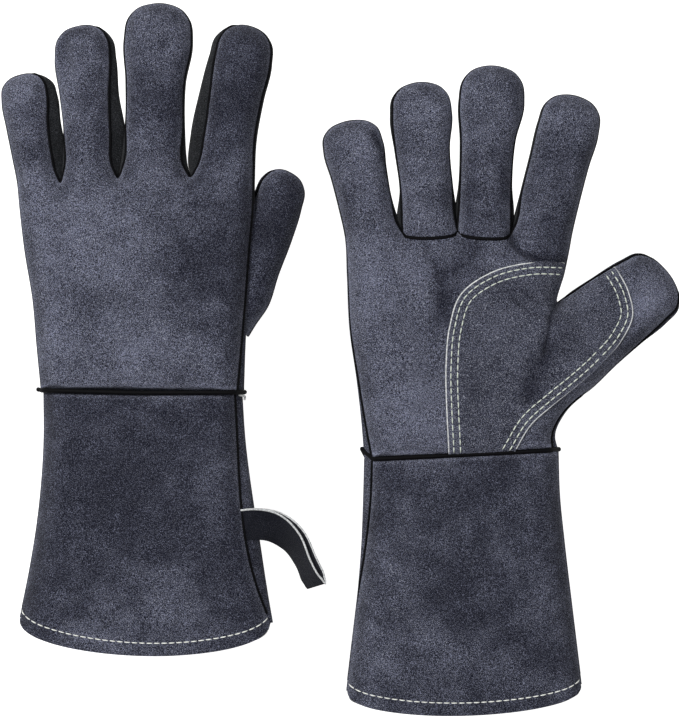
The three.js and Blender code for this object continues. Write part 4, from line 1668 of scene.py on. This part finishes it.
    def patch_gate(self, border: np.ndarray) -> np.ndarray:
        """The line across the patch at the thumb's root."""
        axis = self.axes["thumb"]
        across, along = axis.local(border)
        gate_u, gate_v = self.thumb_gate()
        start = int(np.argmin(np.hypot(across - gate_u, along - gate_v)))
        far = np.flatnonzero(across > 5 * MM)
        end = int(far[np.argmin(np.abs(along[far] - gate_v))])
        t = np.linspace(0, 1, 24)[:, None]
        return border[start] * (1 - t) + border[end] * t


STITCH = 3.2 * MM
STITCH_GAP = 0.8 * MM


def stitches(name: str, skin: Skin, line: np.ndarray, sign: int, proud: float = 0.0) -> bpy.types.Object:
    """Sew a row of thread along a flat line, each stitch dipping into the leather at its ends.

    Args:
        name: the piece's name.
        skin: the face that it lies on.
        line: (n, 2) places.
        sign: 1 on an upper face, -1 on a lower one.
        proud: how far above the skin the sewn layer's face is.

    Returns:
        The row as one object.
    """
    steps = np.linalg.norm(np.diff(line, axis=0), axis=1)
    reached = np.concatenate([[0], np.cumsum(steps)])
    points, faces = [], []
    total = 0
    count = max(1, round((reached[-1] - 0.4 * MM) / (STITCH + STITCH_GAP)))
    pitch = (reached[-1] - 0.4 * MM) / count
    for start in 0.4 * MM + pitch * np.arange(count):
        at = start + np.linspace(0, pitch - STITCH_GAP, 5)
        places = np.column_stack([np.interp(at, reached, line[:, k]) for k in range(2)])
        dip = np.array([-0.25, 0.18, 0.28, 0.18, -0.25]) * MM
        path = skin.lay(places, 0.0)
        path[:, 2] += sign * (proud + dip)
        made, quads = tube_mesh(path, np.array([0.24, 0.33, 0.37, 0.33, 0.24]) * MM, False, 5)
        points.append(made)
        faces += [tuple(i + total for i in f) for f in quads]
        total += len(made)
    return mesh_piece(name, np.vstack(points), faces)


# ---- Hanging loop -------------------------------------------------------------------------------


@dataclass
class HangingLoop:
    """The folded strap in the left cuff's thumb side seam."""

    finishes: Finishes
    width: float = 16.5 * MM
    thick: float = 1.3 * MM
    gap: float = 2.6 * MM
    twist: float = math.radians(56)
    course: tuple[tuple[float, float], ...] = (
        (54.5, -69.8),
        (62, -69.5),
        (70.4, -70.8),
        (81.4, -77.8),
        (88.6, -89.4),
        (94.2, -102.2),
    )

    def build(self, glove: Glove) -> None:
        """Sweep the strap out of the seam, over and down, folded back on itself.

        Args:
            glove: the left glove.
        """
        course = glove.line(*self.course)
        reached = np.concatenate([[0], np.cumsum(np.linalg.norm(np.diff(course, axis=0), axis=1))])
        share = reached / reached[-1]
        ahead = unit(np.gradient(course, axis=0))
        across = np.column_stack([ahead[:, 1], -ahead[:, 0]])
        turn = self.twist * (smoothstep(0.05, 0.8, share) - 0.12 * smoothstep(0.8, 1.0, share))
        height = (24 - 10.5 * smoothstep(-0.1, 0.42, share) - 1.5 * share) * MM
        height += math.sin(self.twist) * 3.5 * MM * smoothstep(0.05, 0.8, share)
        side = np.column_stack([across * np.cos(turn)[:, None], -np.sin(turn)])
        lift = np.cross(side, np.column_stack([ahead, np.zeros(len(ahead))]))
        lift *= np.sign(lift[:, 2:3])
        centre = np.column_stack([course, height])
        open_up = self.gap * smoothstep(0.0, 0.5, share) * (1 - smoothstep(0.9, 1.0, share)) / 2
        upper = centre + lift * (open_up + self.thick * 0.55)[:, None]
        lower = centre - lift * (open_up + self.thick * 0.55)[:, None]
        tip = centre[-1] + np.array([*ahead[-1], 0.0]) * 1.4 * MM
        middle = np.vstack([upper, tip[None, :], lower[::-1]])
        sides = np.vstack([side, side[-1:], side[::-1]])
        columns = np.linspace(-0.5, 0.5, 9)
        rows = middle[:, None, :] + columns[None, :, None] * self.width * sides[:, None, :]
        surface = grid_surface(rows)
        outward = surface.normals[: len(upper) * 9].mean(0)[2]
        if outward < 0:
            surface = grid_surface(rows[:, ::-1])
        strap = surface.shell("left_hanging_strap", 0.0, self.thick)
        self.finishes.dress(strap, "strap_leather", "strap_leather")
        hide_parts("left_hanging_loop")
        raw = middle - sides * (self.width / 2 + 0.05 * MM)
        edge = tube_piece("left_strap_raw_edge", raw, 0.55 * MM, around=6)
        self.finishes.dress(edge, "raw_edge", "strap_leather")
        for piece in (strap, edge):
            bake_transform(piece)
        log.info("left_hanging_strap: %.0f mm of strap", 2000 * reached[-1])


# ---- Scene --------------------------------------------------------------------------------------

VIEW_HEIGHT = 0.3902  # what the camera takes in, from the top of the frame to its bottom
LENS = 110.0
SENSOR = 36.0
FLOOR_HEIGHT = -0.12  # below the gloves, so that a finger or hand that bends down stays in sight


def make_camera() -> None:
    """Look straight down on the pair."""
    data = bpy.data.cameras.new("camera")
    data.lens, data.sensor_width = LENS, SENSOR
    camera = bpy.data.objects.new("camera", data)
    camera.location = (0.0, 0.0, VIEW_HEIGHT * LENS / SENSOR + 14 * MM)
    bpy.context.scene.collection.objects.link(camera)
    bpy.context.scene.camera = camera


def make_light(name: str, place: Sequence[float], size: float, power: float) -> None:
    """Add a square soft light aimed at the pair.

    Args:
        name: the light's name.
        place: where it hangs.
        size: its side.
        power: in watts.
    """
    data = bpy.data.lights.new(name, "AREA")
    data.size, data.energy = size, power
    light = bpy.data.objects.new(name, data)
    light.location = place
    light.rotation_euler = (-Vector(place)).to_track_quat("-Z", "Y").to_euler()
    bpy.context.scene.collection.objects.link(light)


def make_stage() -> None:
    """Lay a pale floor under soft studio light."""
    bpy.ops.mesh.primitive_plane_add(size=6.0, location=(0.0, 0.0, FLOOR_HEIGHT))
    floor = bpy.context.object
    floor.name = "floor"
    material = bpy.data.materials.new("pale_floor")
    material.use_nodes = True
    shader = material.node_tree.nodes["Principled BSDF"]
    socket_values(shader, {"Base Color": (0.5, 0.5, 0.5, 1.0), "Roughness": 0.9, "Emission Strength": 0.93})
    shader.inputs["Emission Color"].default_value = (1.0, 1.0, 1.0, 1.0)
    floor.visible_diffuse = False
    floor.data.materials.append(material)
    world = bpy.data.worlds.new("studio")
    world.use_nodes = True
    nodes, links = world.node_tree.nodes, world.node_tree.links
    socket_values(nodes["Background"], {"Color": (1.0, 1.0, 1.0, 1.0), "Strength": 0.38})
    wall = nodes.new("ShaderNodeBackground")
    socket_values(wall, {"Color": (1.0, 1.0, 1.0, 1.0), "Strength": 1.0})
    mix = nodes.new("ShaderNodeMixShader")
    links.new(nodes.new("ShaderNodeLightPath").outputs["Is Camera Ray"], mix.inputs[0])
    links.new(nodes["Background"].outputs[0], mix.inputs[1])
    links.new(wall.outputs[0], mix.inputs[2])
    links.new(mix.outputs[0], nodes["World Output"].inputs[0])
    bpy.context.scene.world = world
    make_light("key", place=(-0.6, 0.55, 1.2), size=0.6, power=19.0)
    make_light("fill", place=(0.9, -0.5, 1.3), size=1.2, power=3.0)
    bpy.context.scene.view_settings.view_transform = "Standard"


def main() -> None:
    """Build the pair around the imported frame."""
    logging.basicConfig(level=logging.INFO, format="%(message)s")
    make_camera()
    make_stage()
    finishes = Finishes()
    gloves = {}
    for side in Side:
        gloves[side] = Glove(side, finishes)
        gloves[side].build()
    HangingLoop(finishes).build(gloves[Side.LEFT])


if __name__ == "__main__":
    main()
